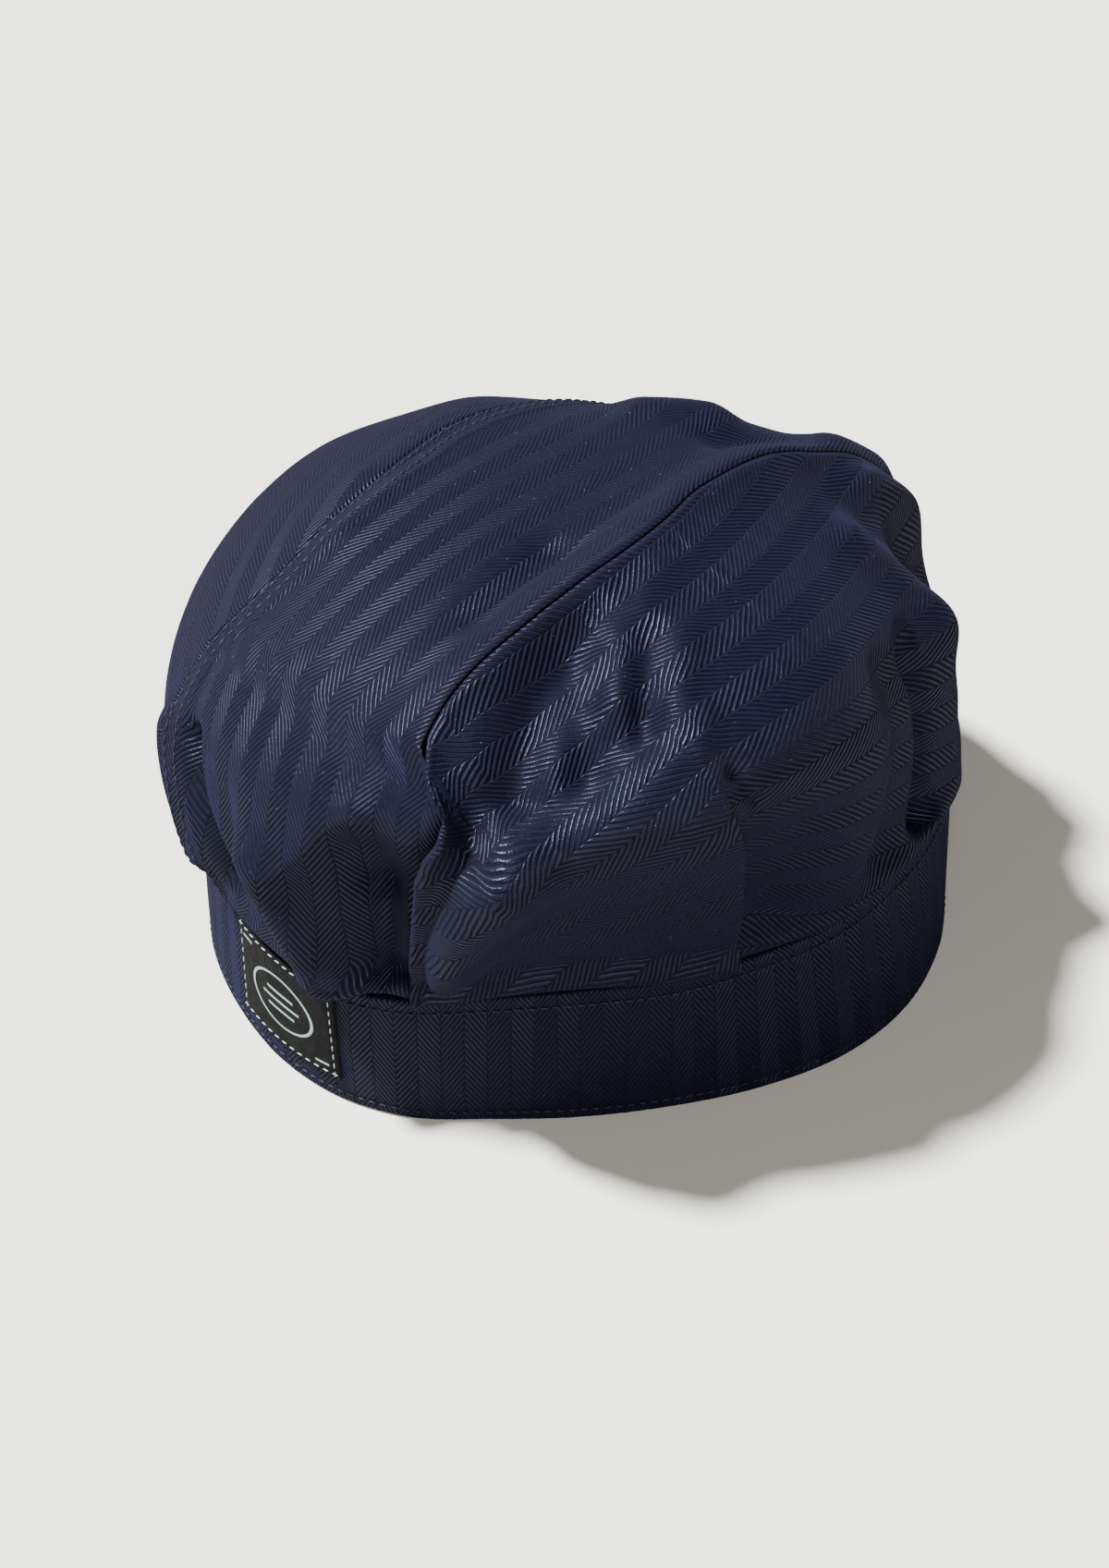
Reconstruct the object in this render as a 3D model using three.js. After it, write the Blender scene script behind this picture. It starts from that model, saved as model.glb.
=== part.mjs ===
// Peakless work cap: a head band, three crown panels and a woven label at the back.
// Millimetres, +Z up, +Y is the wearer's front, +X the wearer's right.
import * as THREE from 'three';

// Overall sizes
const HALF = 100;          // half of the band's length, front to back
const BAND_H = 36;         // height of the head band
const BAND_T = 2.4;        // band cloth, doubled and stitched
const CROWN_H = 87;        // height of the crown above the band
const CLOTH = 1.3;         // crown cloth with its seam allowances
const GAP = 0.3;           // clearance between neighbouring pieces
const TUCK = 6;            // crown cloth hidden behind the band
const LEAN_X = 8;          // how far the slack top has slumped
const LEAN_Y = -8;
const LABEL_W = 35;        // woven label
const LABEL_H = 27.5;
const LABEL_T = 0.8;
const LABEL_DROP = 1.2;    // label's upper edge below the band's upper edge

// Band outline. Angles run from the back centre towards the wearer's right.
// foot: reach at the lower edge, rim: reach at the upper edge, both as shares of HALF.
const BAND_ROWS = [
  { angle: 0, foot: 0.935, rim: 0.943 },
  { angle: 10, foot: 0.935, rim: 0.955 },
  { angle: 20, foot: 0.914, rim: 0.920 },
  { angle: 32, foot: 0.859, rim: 0.848 },
  { angle: 45, foot: 0.831, rim: 0.804 },
  { angle: 60, foot: 0.824, rim: 0.796 },
  { angle: 75, foot: 0.846, rim: 0.794 },
  { angle: 90, foot: 0.882, rim: 0.816 },
  { angle: 105, foot: 0.906, rim: 0.834 },
  { angle: 120, foot: 0.912, rim: 0.868 },
  { angle: 135, foot: 0.914, rim: 0.905 },
  { angle: 155, foot: 0.955, rim: 0.955 },
  { angle: 180, foot: 0.985, rim: 0.985 },
  { angle: 205, foot: 0.955, rim: 0.955 },
  { angle: 230, foot: 0.885, rim: 0.885 },
  { angle: 250, foot: 0.845, rim: 0.845 },
  { angle: 270, foot: 0.825, rim: 0.825 },
  { angle: 290, foot: 0.840, rim: 0.840 },
  { angle: 310, foot: 0.878, rim: 0.872 },
  { angle: 325, foot: 0.902, rim: 0.897 },
  { angle: 345, foot: 0.918, rim: 0.915 },
];

// Crown profile by angle. Reaches are shares of HALF, heights are shares of CROWN_H.
const CROWN_ROWS = [
  { angle: 0, belly: 1.00, bellyZ: 0.36, shoulder: 0.90, shoulderZ: 0.70 },
  { angle: 30, belly: 0.96, bellyZ: 0.36, shoulder: 0.88, shoulderZ: 0.72 },
  { angle: 60, belly: 0.90, bellyZ: 0.36, shoulder: 0.84, shoulderZ: 0.74 },
  { angle: 90, belly: 0.87, bellyZ: 0.36, shoulder: 0.78, shoulderZ: 0.74 },
  { angle: 120, belly: 0.84, bellyZ: 0.36, shoulder: 0.72, shoulderZ: 0.70 },
  { angle: 150, belly: 0.90, bellyZ: 0.34, shoulder: 0.76, shoulderZ: 0.66 },
  { angle: 180, belly: 1.00, bellyZ: 0.26, shoulder: 0.84, shoulderZ: 0.63 },
  { angle: 210, belly: 1.00, bellyZ: 0.24, shoulder: 0.74, shoulderZ: 0.63 },
  { angle: 240, belly: 0.93, bellyZ: 0.26, shoulder: 0.78, shoulderZ: 0.65 },
  { angle: 270, belly: 0.90, bellyZ: 0.32, shoulder: 0.82, shoulderZ: 0.70 },
  { angle: 300, belly: 0.92, bellyZ: 0.32, shoulder: 0.81, shoulderZ: 0.70 },
  { angle: 330, belly: 0.97, bellyZ: 0.34, shoulder: 0.83, shoulderZ: 0.70 },
];
const TOP_REACH = 0.55;    // share of the shoulder's reach where the top levels out
const TOP_Z = 0.955;       // share of CROWN_H there
const PROFILE_KNOTS = [0, 0.03, 0.10, 0.24, 0.52, 0.76, 1];

// Seams between the centre panel and the side panels, as the disk's x at each place along
// the panel (-1 at the back of the band, 1 at its front).
const SEAM_ROWS = [
  { along: -1.00, right: 0.360, left: -0.270 },
  { along: -0.75, right: 0.315, left: -0.275 },
  { along: -0.55, right: 0.245, left: -0.260 },
  { along: -0.45, right: 0.185, left: -0.235 },
  { along: -0.35, right: 0.148, left: -0.205 },
  { along: -0.20, right: 0.140, left: -0.200 },
  { along: 0.00, right: 0.142, left: -0.225 },
  { along: 0.30, right: 0.110, left: -0.215 },
  { along: 0.60, right: 0.160, left: -0.240 },
  { along: 1.00, right: 0.330, left: -0.330 },
];

// Folds and dents of the slack cloth: a line from one place to another on the crown (angle
// in degrees, rise 0 at the band and 1 at the top), its half width and its height in mm.
const FOLDS = [
  { a0: 34, r0: 0.69, a1: 28, r1: 0.52, wide: 5.5, high: -4.5 },
  { a0: 39, r0: 0.71, a1: 37, r1: 0.50, wide: 4.0, high: 3.0 },
  { a0: 45, r0: 0.78, a1: 39, r1: 0.62, wide: 5.0, high: -3.5 },
  { a0: 66, r0: 0.84, a1: 46, r1: 0.66, wide: 5.0, high: 3.5 },
  { a0: 60, r0: 0.72, a1: 53, r1: 0.60, wide: 4.0, high: -3.0 },
  { a0: 69, r0: 0.75, a1: 57, r1: 0.58, wide: 4.5, high: 3.0 },
  { a0: 137, r0: 0.62, a1: 133, r1: 0.40, wide: 7.0, high: 3.0 },
  { a0: 22, r0: 0.76, a1: 33, r1: 0.88, wide: 7.0, high: -3.5 },
  { a0: 316, r0: 0.68, a1: 300, r1: 0.72, wide: 10.0, high: 2.0 },
  { a0: 354, r0: 0.28, a1: 12, r1: 0.02, wide: 7.0, high: 3.5 },
  { a0: 6, r0: 0.44, a1: 20, r1: 0.05, wide: 7.0, high: -3.5 },
  { a0: 25, r0: 0.47, a1: 32, r1: 0.34, wide: 5.5, high: -4.0 },
  { a0: 26, r0: 0.36, a1: 35, r1: 0.10, wide: 7.0, high: 2.5 },
  { a0: 161, r0: 0.60, a1: 164, r1: 0.52, wide: 12.0, high: 12.0 },
  { a0: 147, r0: 0.50, a1: 150, r1: 0.38, wide: 6.0, high: -3.0 },
  { a0: 121, r0: 0.46, a1: 127, r1: 0.08, wide: 4.5, high: -5.0 },
  { a0: 134, r0: 0.36, a1: 136, r1: 0.14, wide: 7.0, high: 2.0 },
  { a0: 334, r0: 0.42, a1: 344, r1: 0.04, wide: 5.5, high: -5.0 },
  { a0: 318, r0: 0.32, a1: 322, r1: 0.18, wide: 9.0, high: 2.5 },
  { a0: 82, r0: 0.30, a1: 76, r1: 0.12, wide: 8.0, high: -1.5 },
  { a0: 12, r0: 0.66, a1: 345, r1: 0.56, wide: 12.0, high: 1.5 },
  { a0: 258, r0: 0.74, a1: 246, r1: 0.62, wide: 12.0, high: 3.5 },
  { a0: 192, r0: 0.80, a1: 172, r1: 0.74, wide: 9.0, high: 3.5 },
  { a0: 186, r0: 0.62, a1: 168, r1: 0.62, wide: 7.0, high: -3.0 },
];

// Pleats at the band, along lines of the side panels.
const PLEATS = [
  { side: 1, along: -0.275, high: 3.0, reach: 24, top: 0.50 },
];
const LAP_HIGH = 3.2;      // first pleat: how far the right panel's edge stands off
const LAP_TOP = -0.47;     // where it dies out along the seam
const LAP_OVER = 0.018;    // how far it lies over the centre panel
const LAP_REACH = 0.16;    // how soon the stand-off fades across the panel
const STIFF = 0.65;        // how much a seam's layers hold folds down
const STIFF_REACH = 0.07;

// Mesh steps
const BAND_STEPS = 72;
const CENTRE_ACROSS = 24;
const CENTRE_ALONG = 46;
const SIDE_ALONG = 40;
const SIDE_ACROSS = 16;
const SEAM_GAP = 0.0014;   // half the gap at a seam, as a share of the disk
const END_T = 0.985;       // how far the side panels run towards their pointed ends
const SEAM_POWER = 1.5;
const RIM_POWER = 1.4;     // crowds the steps towards the band
const SLIT = 0.006;        // width of the step at a pleat's fold, along the panel

const DEG = Math.PI / 180;

/** Periodic smooth curve through one column of a table by angle. */
function byAngle(rows, key, degrees) {
  const n = rows.length;
  const x = ((degrees % 360) + 360) % 360;
  let i = n - 1;
  while (i > 0 && rows[i].angle > x) i -= 1;
  const at = (k) => rows[(k + n) % n].angle + 360 * Math.floor(k / n);
  const value = (k) => rows[(k + n) % n][key];
  const slope = (k) => {
    const before = at(k) - at(k - 1);
    const after = at(k + 1) - at(k);
    const first = (value(k) - value(k - 1)) / before;
    const second = (value(k + 1) - value(k)) / after;
    return (first * after + second * before) / (before + after);
  };
  const step = at(i + 1) - at(i);
  return hermite(value(i), value(i + 1), slope(i) * step, slope(i + 1) * step, (x - at(i)) / step);
}

/** Cubic through two values with given end slopes. */
function hermite(p0, p1, m0, m1, t) {
  const t2 = t * t;
  const t3 = t2 * t;
  return (2 * t3 - 3 * t2 + 1) * p0 + (t3 - 2 * t2 + t) * m0
    + (-2 * t3 + 3 * t2) * p1 + (t3 - t2) * m1;
}

/** Smooth open curve through values at given knots, with chosen end slopes. */
function throughKnots(knots, values, x, startSlope, endSlope) {
  const last = knots.length - 1;
  let i = 0;
  while (i < last - 1 && knots[i + 1] < x) i += 1;
  const slope = (k) => {
    if (k === 0) return startSlope;
    if (k === last) return endSlope;
    const before = knots[k] - knots[k - 1];
    const after = knots[k + 1] - knots[k];
    const first = (values[k] - values[k - 1]) / before;
    const second = (values[k + 1] - values[k]) / after;
    return (first * after + second * before) / (before + after);
  };
  const step = knots[i + 1] - knots[i];
  const t = Math.min(1, Math.max(0, (x - knots[i]) / step));
  return hermite(values[i], values[i + 1], slope(i) * step, slope(i + 1) * step, t);
}

const ROW_ANGLES = {
  foot: (a) => byAngle(BAND_ROWS, 'foot', a) * HALF,
  rim: (a) => byAngle(BAND_ROWS, 'rim', a) * HALF,
};

/** Point of the smooth crown, without folds. rise below 0 runs down behind the band. */
function smoothCrown(angle, rise) {
  const rim = ROW_ANGLES.rim(angle);
  const sin = Math.sin(angle * DEG);
  const cos = Math.cos(angle * DEG);
  const lip = rim - BAND_T - GAP - 0.1;
  if (rise < 0) {
    const under = lip + (rim - ROW_ANGLES.foot(angle)) * rise * HALF / BAND_H;
    return new THREE.Vector3(under * sin, -under * cos, BAND_H + rise * HALF);
  }
  const belly = byAngle(CROWN_ROWS, 'belly', angle) * HALF;
  const bellyZ = byAngle(CROWN_ROWS, 'bellyZ', angle) * CROWN_H;
  const shoulder = byAngle(CROWN_ROWS, 'shoulder', angle) * HALF;
  const shoulderZ = byAngle(CROWN_ROWS, 'shoulderZ', angle) * CROWN_H;
  const reach = [lip, rim + 0.3, rim + (belly - rim) * 0.55, belly, shoulder, TOP_REACH * shoulder, 0];
  const height = [0, 1.9, bellyZ * 0.33, bellyZ, shoulderZ, TOP_Z * CROWN_H, CROWN_H];
  const k = PROFILE_KNOTS;
  const r = throughKnots(k, reach, rise, (reach[1] - reach[0]) / k[1], -reach[5] / (k[6] - k[5]));
  const z = throughKnots(k, height, rise, height[1] / k[1], 0);
  const slump = Math.pow(Math.max(0, z / CROWN_H), 1.5);
  return new THREE.Vector3(r * sin + LEAN_X * slump, -r * cos + LEAN_Y * slump, BAND_H + z);
}

const FOLD_ENDS = FOLDS.map((f) => ({
  start: smoothCrown(f.a0, f.r0),
  end: smoothCrown(f.a1, f.r1),
  wide: f.wide,
  high: f.high,
}));

/** Sum of all folds at a point of the smooth crown, in mm along its outward direction. */
function foldHeight(point) {
  let sum = 0;
  for (const f of FOLD_ENDS) {
    const line = f.end.clone().sub(f.start);
    const t = Math.min(1, Math.max(0, point.clone().sub(f.start).dot(line) / line.lengthSq()));
    const d = point.distanceTo(f.start.clone().addScaledVector(line, t)) / f.wide;
    if (d < 3) sum += f.high * Math.exp(-d * d);
  }
  return sum;
}

/** Disk place to angle and rise. */
function toPolar(x, y) {
  return { angle: Math.atan2(x, -y) / DEG, rise: 1 - Math.hypot(x, y) };
}

/** Point of the smooth crown at a disk place. */
function smoothAt(x, y) {
  const { angle, rise } = toPolar(x, y);
  return smoothCrown(angle, rise);
}

/** Outward direction of a surface given by two-variable function. */
function outward(surface, x, y) {
  const e = 0.004;
  const dx = surface(x + e, y).sub(surface(x - e, y));
  const dy = surface(x, y + e).sub(surface(x, y - e));
  return dx.cross(dy).normalize();
}

/** Crown surface with its folds at a disk place. */
function foldedAt(x, y) {
  const p = smoothAt(x, y);
  const { rise } = toPolar(x, y);
  const free = THREE.MathUtils.smoothstep(rise, 0, 0.07);
  if (free <= 0) return p;
  return p.addScaledVector(outward(smoothAt, x, y), foldHeight(p) * free * seamHold(x, y));
}

/** Share of a fold's height left near the stiff seams. */
function seamHold(x, y) {
  const along = THREE.MathUtils.clamp(y / Math.sqrt(1 - Math.min(0.9, x * x)), -1, 1);
  const right = (x - seamX('right', along)) / STIFF_REACH;
  const left = (x - seamX('left', along)) / STIFF_REACH;
  return 1 - STIFF * Math.max(Math.exp(-right * right), Math.exp(-left * left));
}

/** Seam's disk x at a place along the panels. */
function seamX(key, along) {
  const knots = SEAM_ROWS.map((row) => row.along);
  const values = SEAM_ROWS.map((row) => row[key]);
  return throughKnots(knots, values, along, 0, 0);
}

/** Closed shell from an outer grid of points and its outward directions. */
function shell(points, normals, thick) {
  const nu = points.length;
  const nv = points[0].length;
  const verts = [];
  const index = [];
  const outer = (i, j) => i * nv + j;
  const inner = (i, j) => nu * nv + i * nv + j;
  for (const row of points) for (const p of row) verts.push(p.x, p.y, p.z);
  for (let i = 0; i < nu; i += 1) {
    for (let j = 0; j < nv; j += 1) {
      const p = points[i][j].clone().addScaledVector(normals[i][j], -thick);
      verts.push(p.x, p.y, p.z);
    }
  }
  const quad = (a, b, c, d) => index.push(a, b, c, a, c, d);
  for (let i = 0; i + 1 < nu; i += 1) {
    for (let j = 0; j + 1 < nv; j += 1) {
      quad(outer(i, j), outer(i + 1, j), outer(i + 1, j + 1), outer(i, j + 1));
      quad(inner(i, j), inner(i, j + 1), inner(i + 1, j + 1), inner(i + 1, j));
    }
  }
  for (let i = 0; i + 1 < nu; i += 1) {
    quad(outer(i, 0), inner(i, 0), inner(i + 1, 0), outer(i + 1, 0));
    quad(outer(i, nv - 1), outer(i + 1, nv - 1), inner(i + 1, nv - 1), inner(i, nv - 1));
  }
  for (let j = 0; j + 1 < nv; j += 1) {
    quad(outer(0, j), outer(0, j + 1), inner(0, j + 1), inner(0, j));
    quad(outer(nu - 1, j), inner(nu - 1, j), inner(nu - 1, j + 1), outer(nu - 1, j + 1));
  }
  const geometry = new THREE.BufferGeometry();
  geometry.setAttribute('position', new THREE.Float32BufferAttribute(verts, 3));
  geometry.setIndex(index);
  geometry.computeVertexNormals();
  return geometry;
}

/** Grid of points and outward directions over i and j shares. */
function grid(nu, nv, place, surface) {
  const points = [];
  const normals = [];
  for (let i = 0; i <= nu; i += 1) {
    points.push([]);
    normals.push([]);
    for (let j = 0; j <= nv; j += 1) {
      const [x, y] = place(i / nu, j / nv);
      points[i].push(surface(x, y));
      normals[i].push(outward(surface, x, y));
    }
  }
  return { points, normals };
}

/** Shares along an edge, with the last step a short tuck behind the band. */
function withTuck(share) {
  return 1 + TUCK / HALF * share;
}

/** Centre panel: front to back strip between the two seams. */
function centrePanel() {
  const place = (i, j) => {
    const tuckSteps = 2 / CENTRE_ALONG;
    let along = (j - 0.5) * 2 / (1 - 2 * tuckSteps);
    let stretch = 1;
    if (Math.abs(along) > 1 + 1e-9) {
      stretch = withTuck((Math.abs(along) - 1) / (2 * tuckSteps / (1 - 2 * tuckSteps)));
      along = Math.sign(along);
    } else {
      along = Math.sign(along) * (1 - Math.pow(1 - Math.min(1, Math.abs(along)), RIM_POWER));
    }
    const left = seamX('left', along) + SEAM_GAP;
    const right = seamX('right', along) - SEAM_GAP;
    const x = left + (right - left) * i;
    return [x * stretch, along * Math.sqrt(1 - x * x) * stretch];
  };
  const { points, normals } = grid(CENTRE_ACROSS, CENTRE_ALONG, place, foldedAt);
  return shell(points, normals, CLOTH);
}

/** Stand-off of a side panel where pleats raise it. */
function pleatRaise(side, t, w, x, y) {
  let sum = 0;
  for (const p of PLEATS) {
    if (p.side !== side) continue;
    const { rise } = toPolar(x, y);
    const away = (p.along - t) * HALF * 1.4;
    const fade = 1 - THREE.MathUtils.smoothstep(rise, p.top * 0.55, p.top);
    const edge = away > 0 ? 1 : 0;
    if (away < p.reach * 2.5) sum += p.high * fade * edge * Math.exp(-Math.max(0, away) / p.reach);
  }
  return sum;
}

/** Stand-off of the right panel's edge over the centre panel, its first pleat. */
function lapRaise(side, x, y) {
  if (side < 0 || y > 0) return 0;
  const along = Math.max(-1, y / Math.sqrt(1 - Math.min(0.9, x * x)));
  const fade = THREE.MathUtils.smoothstep(LAP_TOP - along, -0.1, 0.14);
  const off = Math.max(0, x - seamX('right', along)) / LAP_REACH;
  return LAP_HIGH * fade * Math.exp(-off * off);
}

/** Side panel: crescent between a seam and the band. */
function sidePanel(side) {
  const key = side > 0 ? 'right' : 'left';
  const backX = seamX(key, -1);
  const frontX = seamX(key, 1);
  const backAngle = Math.asin(Math.abs(backX)) / DEG;
  const frontAngle = 180 - Math.asin(Math.abs(frontX)) / DEG;
  const tuckStep = 1 / SIDE_ACROSS;
  const place = (i, j) => {
    const t = i;
    const along = Math.sign(t) * Math.pow(Math.abs(t), SEAM_POWER);
    const sx = seamX(key, along);
    const sy = along * Math.sqrt(1 - sx * sx);
    const low = THREE.MathUtils.smoothstep(1 - Math.hypot(sx, sy), 0.06, 0.12);
    const lapped = side > 0 ? low * THREE.MathUtils.smoothstep(LAP_TOP - along, 0.06, 0.2) : 0;
    const edge = sx + side * (SEAM_GAP - LAP_OVER * lapped);
    const angle = (backAngle + (frontAngle - backAngle) * (t + 1) / 2) * DEG;
    const w = 1 - Math.pow(Math.max(0, 1 - j / (1 - tuckStep)), RIM_POWER);
    const stretch = j > 1 - tuckStep ? withTuck((j - 1 + tuckStep) / tuckStep) : 1;
    const x = edge + (side * Math.sin(angle) - edge) * w;
    const y = sy + (-Math.cos(angle) - sy) * w;
    return [x * stretch, y * stretch];
  };
  const nu = SIDE_ALONG;
  const nv = SIDE_ACROSS;
  const raised = (x, y, t, w) => {
    const p = foldedAt(x, y);
    const { rise } = toPolar(x, y);
    const free = THREE.MathUtils.smoothstep(rise, 0, 0.05);
    const high = (pleatRaise(side, t, w, x, y) + lapRaise(side, x, y)) * free;
    return p.addScaledVector(outward(smoothAt, x, y), high);
  };
  const columns = [];
  for (let i = 0; i <= nu; i += 1) columns.push((i / nu * 2 - 1) * END_T);
  for (const p of PLEATS) {
    if (p.side !== side) continue;
    const before = columns.findLastIndex((t) => t < p.along);
    columns[before] = p.along - SLIT;
    columns[before + 1] = p.along + SLIT;
  }
  const points = [];
  const normals = [];
  for (let i = 0; i <= nu; i += 1) {
    points.push([]);
    normals.push([]);
    for (let j = 0; j <= nv; j += 1) {
      const t = columns[i];
      const [x, y] = place(t, j / nv);
      points[i].push(raised(x, y, t, j / nv));
      normals[i].push(outward((a, b) => raised(a, b, t, j / nv), x, y));
    }
  }
  if (side < 0) {
    return shell(points, normals, CLOTH);
  }
  return shell(points.reverse(), normals.reverse(), CLOTH);
}

/** Closed ring swept round the band outline from a section of in-and-up offsets. */
function bandRing() {
  const section = [
    [0, 0.5], [0, BAND_H / 3], [0, BAND_H * 2 / 3], [0, BAND_H - 0.7], [0.6, BAND_H],
    [BAND_T - 0.6, BAND_H], [BAND_T, BAND_H - 0.7], [BAND_T, 0.5], [BAND_T - 0.5, 0], [0.5, 0],
  ];
  const verts = [];
  const index = [];
  const n = section.length;
  for (let i = 0; i < BAND_STEPS; i += 1) {
    const angle = 360 * i / BAND_STEPS;
    const foot = ROW_ANGLES.foot(angle);
    const rim = ROW_ANGLES.rim(angle);
    for (const [inset, z] of section) {
      const r = foot + (rim - foot) * z / BAND_H - inset;
      verts.push(r * Math.sin(angle * DEG), -r * Math.cos(angle * DEG), z);
    }
  }
  for (let i = 0; i < BAND_STEPS; i += 1) {
    const a = i * n;
    const b = ((i + 1) % BAND_STEPS) * n;
    for (let j = 0; j < n; j += 1) {
      const k = (j + 1) % n;
      index.push(a + j, b + j, b + k, a + j, b + k, a + k);
    }
  }
  const geometry = new THREE.BufferGeometry();
  geometry.setAttribute('position', new THREE.Float32BufferAttribute(verts, 3));
  geometry.setIndex(index);
  geometry.computeVertexNormals();
  return geometry;
}

/** Point of the band's outer face at a run in mm from the back centre and a height. */
function bandFace(run, z, off) {
  let angle = 0;
  let left = Math.abs(run);
  const step = 0.25;
  const at = (a) => {
    const r = ROW_ANGLES.foot(a) + (ROW_ANGLES.rim(a) - ROW_ANGLES.foot(a)) * z / BAND_H;
    return new THREE.Vector3(r * Math.sin(a * DEG), -r * Math.cos(a * DEG), z);
  };
  const sign = Math.sign(run) || 1;
  while (left > 0) {
    const length = at(sign * angle).distanceTo(at(sign * (angle + step)));
    const share = Math.min(1, left / length);
    angle += step * share;
    left -= length;
  }
  const a = sign * angle;
  const across = at(a + 0.5).sub(at(a - 0.5)).normalize();
  const face = at(a);
  const up = new THREE.Vector3(0, 0, 1);
  const out = across.cross(up).normalize();
  return face.addScaledVector(out, off);
}

/** Woven label laid on the band's outer face. */
function labelPatch() {
  const points = [];
  const normals = [];
  const nu = 14;
  const nv = 2;
  const top = BAND_H - LABEL_DROP;
  for (let i = 0; i <= nu; i += 1) {
    points.push([]);
    normals.push([]);
    for (let j = 0; j <= nv; j += 1) {
      const run = (i / nu - 0.5) * LABEL_W;
      const z = top - LABEL_H + LABEL_H * j / nv;
      const face = bandFace(run, z, 0);
      const lifted = bandFace(run, z, GAP + LABEL_T);
      points[i].push(lifted.clone());
      normals[i].push(lifted.sub(face).normalize());
    }
  }
  return shell(points, normals, LABEL_T);
}

/** Cloth finish by colour and roughness. */
function cloth(colour, roughness) {
  return new THREE.MeshStandardMaterial({ color: colour, roughness, metalness: 0 });
}

function piece(name, geometry, material) {
  const mesh = new THREE.Mesh(geometry, material);
  mesh.name = name;
  return mesh;
}

const cap = new THREE.Group();
cap.name = 'engineer_cap';
cap.add(piece('band', bandRing(), cloth('#1b2036', 0.85)));
cap.add(piece('crown_center_panel', centrePanel(), cloth('#1d2239', 0.85)));
cap.add(piece('crown_side_panel_right', sidePanel(1), cloth('#1c2138', 0.85)));
cap.add(piece('crown_side_panel_left', sidePanel(-1), cloth('#1b2037', 0.85)));
cap.add(piece('label', labelPatch(), cloth('#0d0f14', 0.7)));

// The frame's origin is the middle of the whole box's underside.
const box = new THREE.Box3().setFromObject(cap);
const middle = box.getCenter(new THREE.Vector3());
for (const mesh of cap.children) {
  mesh.geometry.translate(-middle.x, -middle.y, -box.min.z);
}

export default cap;
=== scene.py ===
"""Looks of a peakless work cap: dark herringbone twill, a stitched band, felled seams and a woven label."""

from __future__ import annotations

import enum
import logging
import math
from dataclasses import dataclass, field
from typing import NamedTuple

import bpy
import numpy as np
from mathutils import Matrix, Vector

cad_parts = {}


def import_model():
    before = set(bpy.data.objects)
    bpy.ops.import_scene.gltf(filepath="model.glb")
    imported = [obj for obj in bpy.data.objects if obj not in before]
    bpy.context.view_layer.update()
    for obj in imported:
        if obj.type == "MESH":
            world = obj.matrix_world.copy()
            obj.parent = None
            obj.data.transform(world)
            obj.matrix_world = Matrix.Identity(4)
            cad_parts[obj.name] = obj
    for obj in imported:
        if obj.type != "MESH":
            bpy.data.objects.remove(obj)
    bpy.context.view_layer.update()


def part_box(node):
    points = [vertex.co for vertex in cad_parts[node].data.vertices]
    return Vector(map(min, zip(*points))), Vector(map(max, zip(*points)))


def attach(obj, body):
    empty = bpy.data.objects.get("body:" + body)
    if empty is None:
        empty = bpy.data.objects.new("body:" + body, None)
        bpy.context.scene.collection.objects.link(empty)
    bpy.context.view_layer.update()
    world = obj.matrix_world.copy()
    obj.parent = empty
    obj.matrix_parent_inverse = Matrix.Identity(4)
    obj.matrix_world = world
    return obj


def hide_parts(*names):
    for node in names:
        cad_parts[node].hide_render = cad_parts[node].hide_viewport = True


LOG = logging.getLogger("cap")
MM = 0.001
TINY = 1e-12
NOISE_SIDE = 24
NOISE_START = 7.3
BODY = "root"


class BandRow(NamedTuple):
    """Band's reach by angle from the back centre, as shares of the half length."""

    angle: float
    foot: float
    rim: float


class CrownRow(NamedTuple):
    """Crown's profile by angle: reaches as shares of the half length, heights of the crown's."""

    angle: float
    belly: float
    belly_z: float
    shoulder: float
    shoulder_z: float


class SeamRow(NamedTuple):
    """Both seams' disk x at a place along the panels, -1 at the back and 1 at the front."""

    along: float
    right: float
    left: float


class Fold(NamedTuple):
    """A ridge or dent between two places (angle in degrees, rise 0 to 1), in mm."""

    a0: float
    r0: float
    a1: float
    r1: float
    wide: float
    high: float


class LapRow(NamedTuple):
    """How far the first pleat's edge stands off the seam, in disk units, at a place along it."""

    along: float
    out: float


class Stitch(NamedTuple):
    """A kind of stitch: step from stitch to stitch, a stitch's length and the thread, in mm."""

    pitch: float
    length: float
    thread: float


BAND_ROWS = (
    BandRow(0, 0.935, 0.943), BandRow(10, 0.935, 0.955), BandRow(20, 0.914, 0.920),
    BandRow(32, 0.859, 0.848), BandRow(45, 0.831, 0.804), BandRow(60, 0.824, 0.796),
    BandRow(75, 0.846, 0.794), BandRow(90, 0.882, 0.816), BandRow(105, 0.906, 0.834),
    BandRow(120, 0.912, 0.868), BandRow(135, 0.914, 0.905), BandRow(155, 0.955, 0.955),
    BandRow(180, 0.985, 0.985), BandRow(205, 0.955, 0.955), BandRow(230, 0.885, 0.885),
    BandRow(250, 0.845, 0.845), BandRow(270, 0.825, 0.825), BandRow(290, 0.840, 0.840),
    BandRow(310, 0.878, 0.872), BandRow(325, 0.902, 0.897), BandRow(345, 0.918, 0.915),
)

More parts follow.
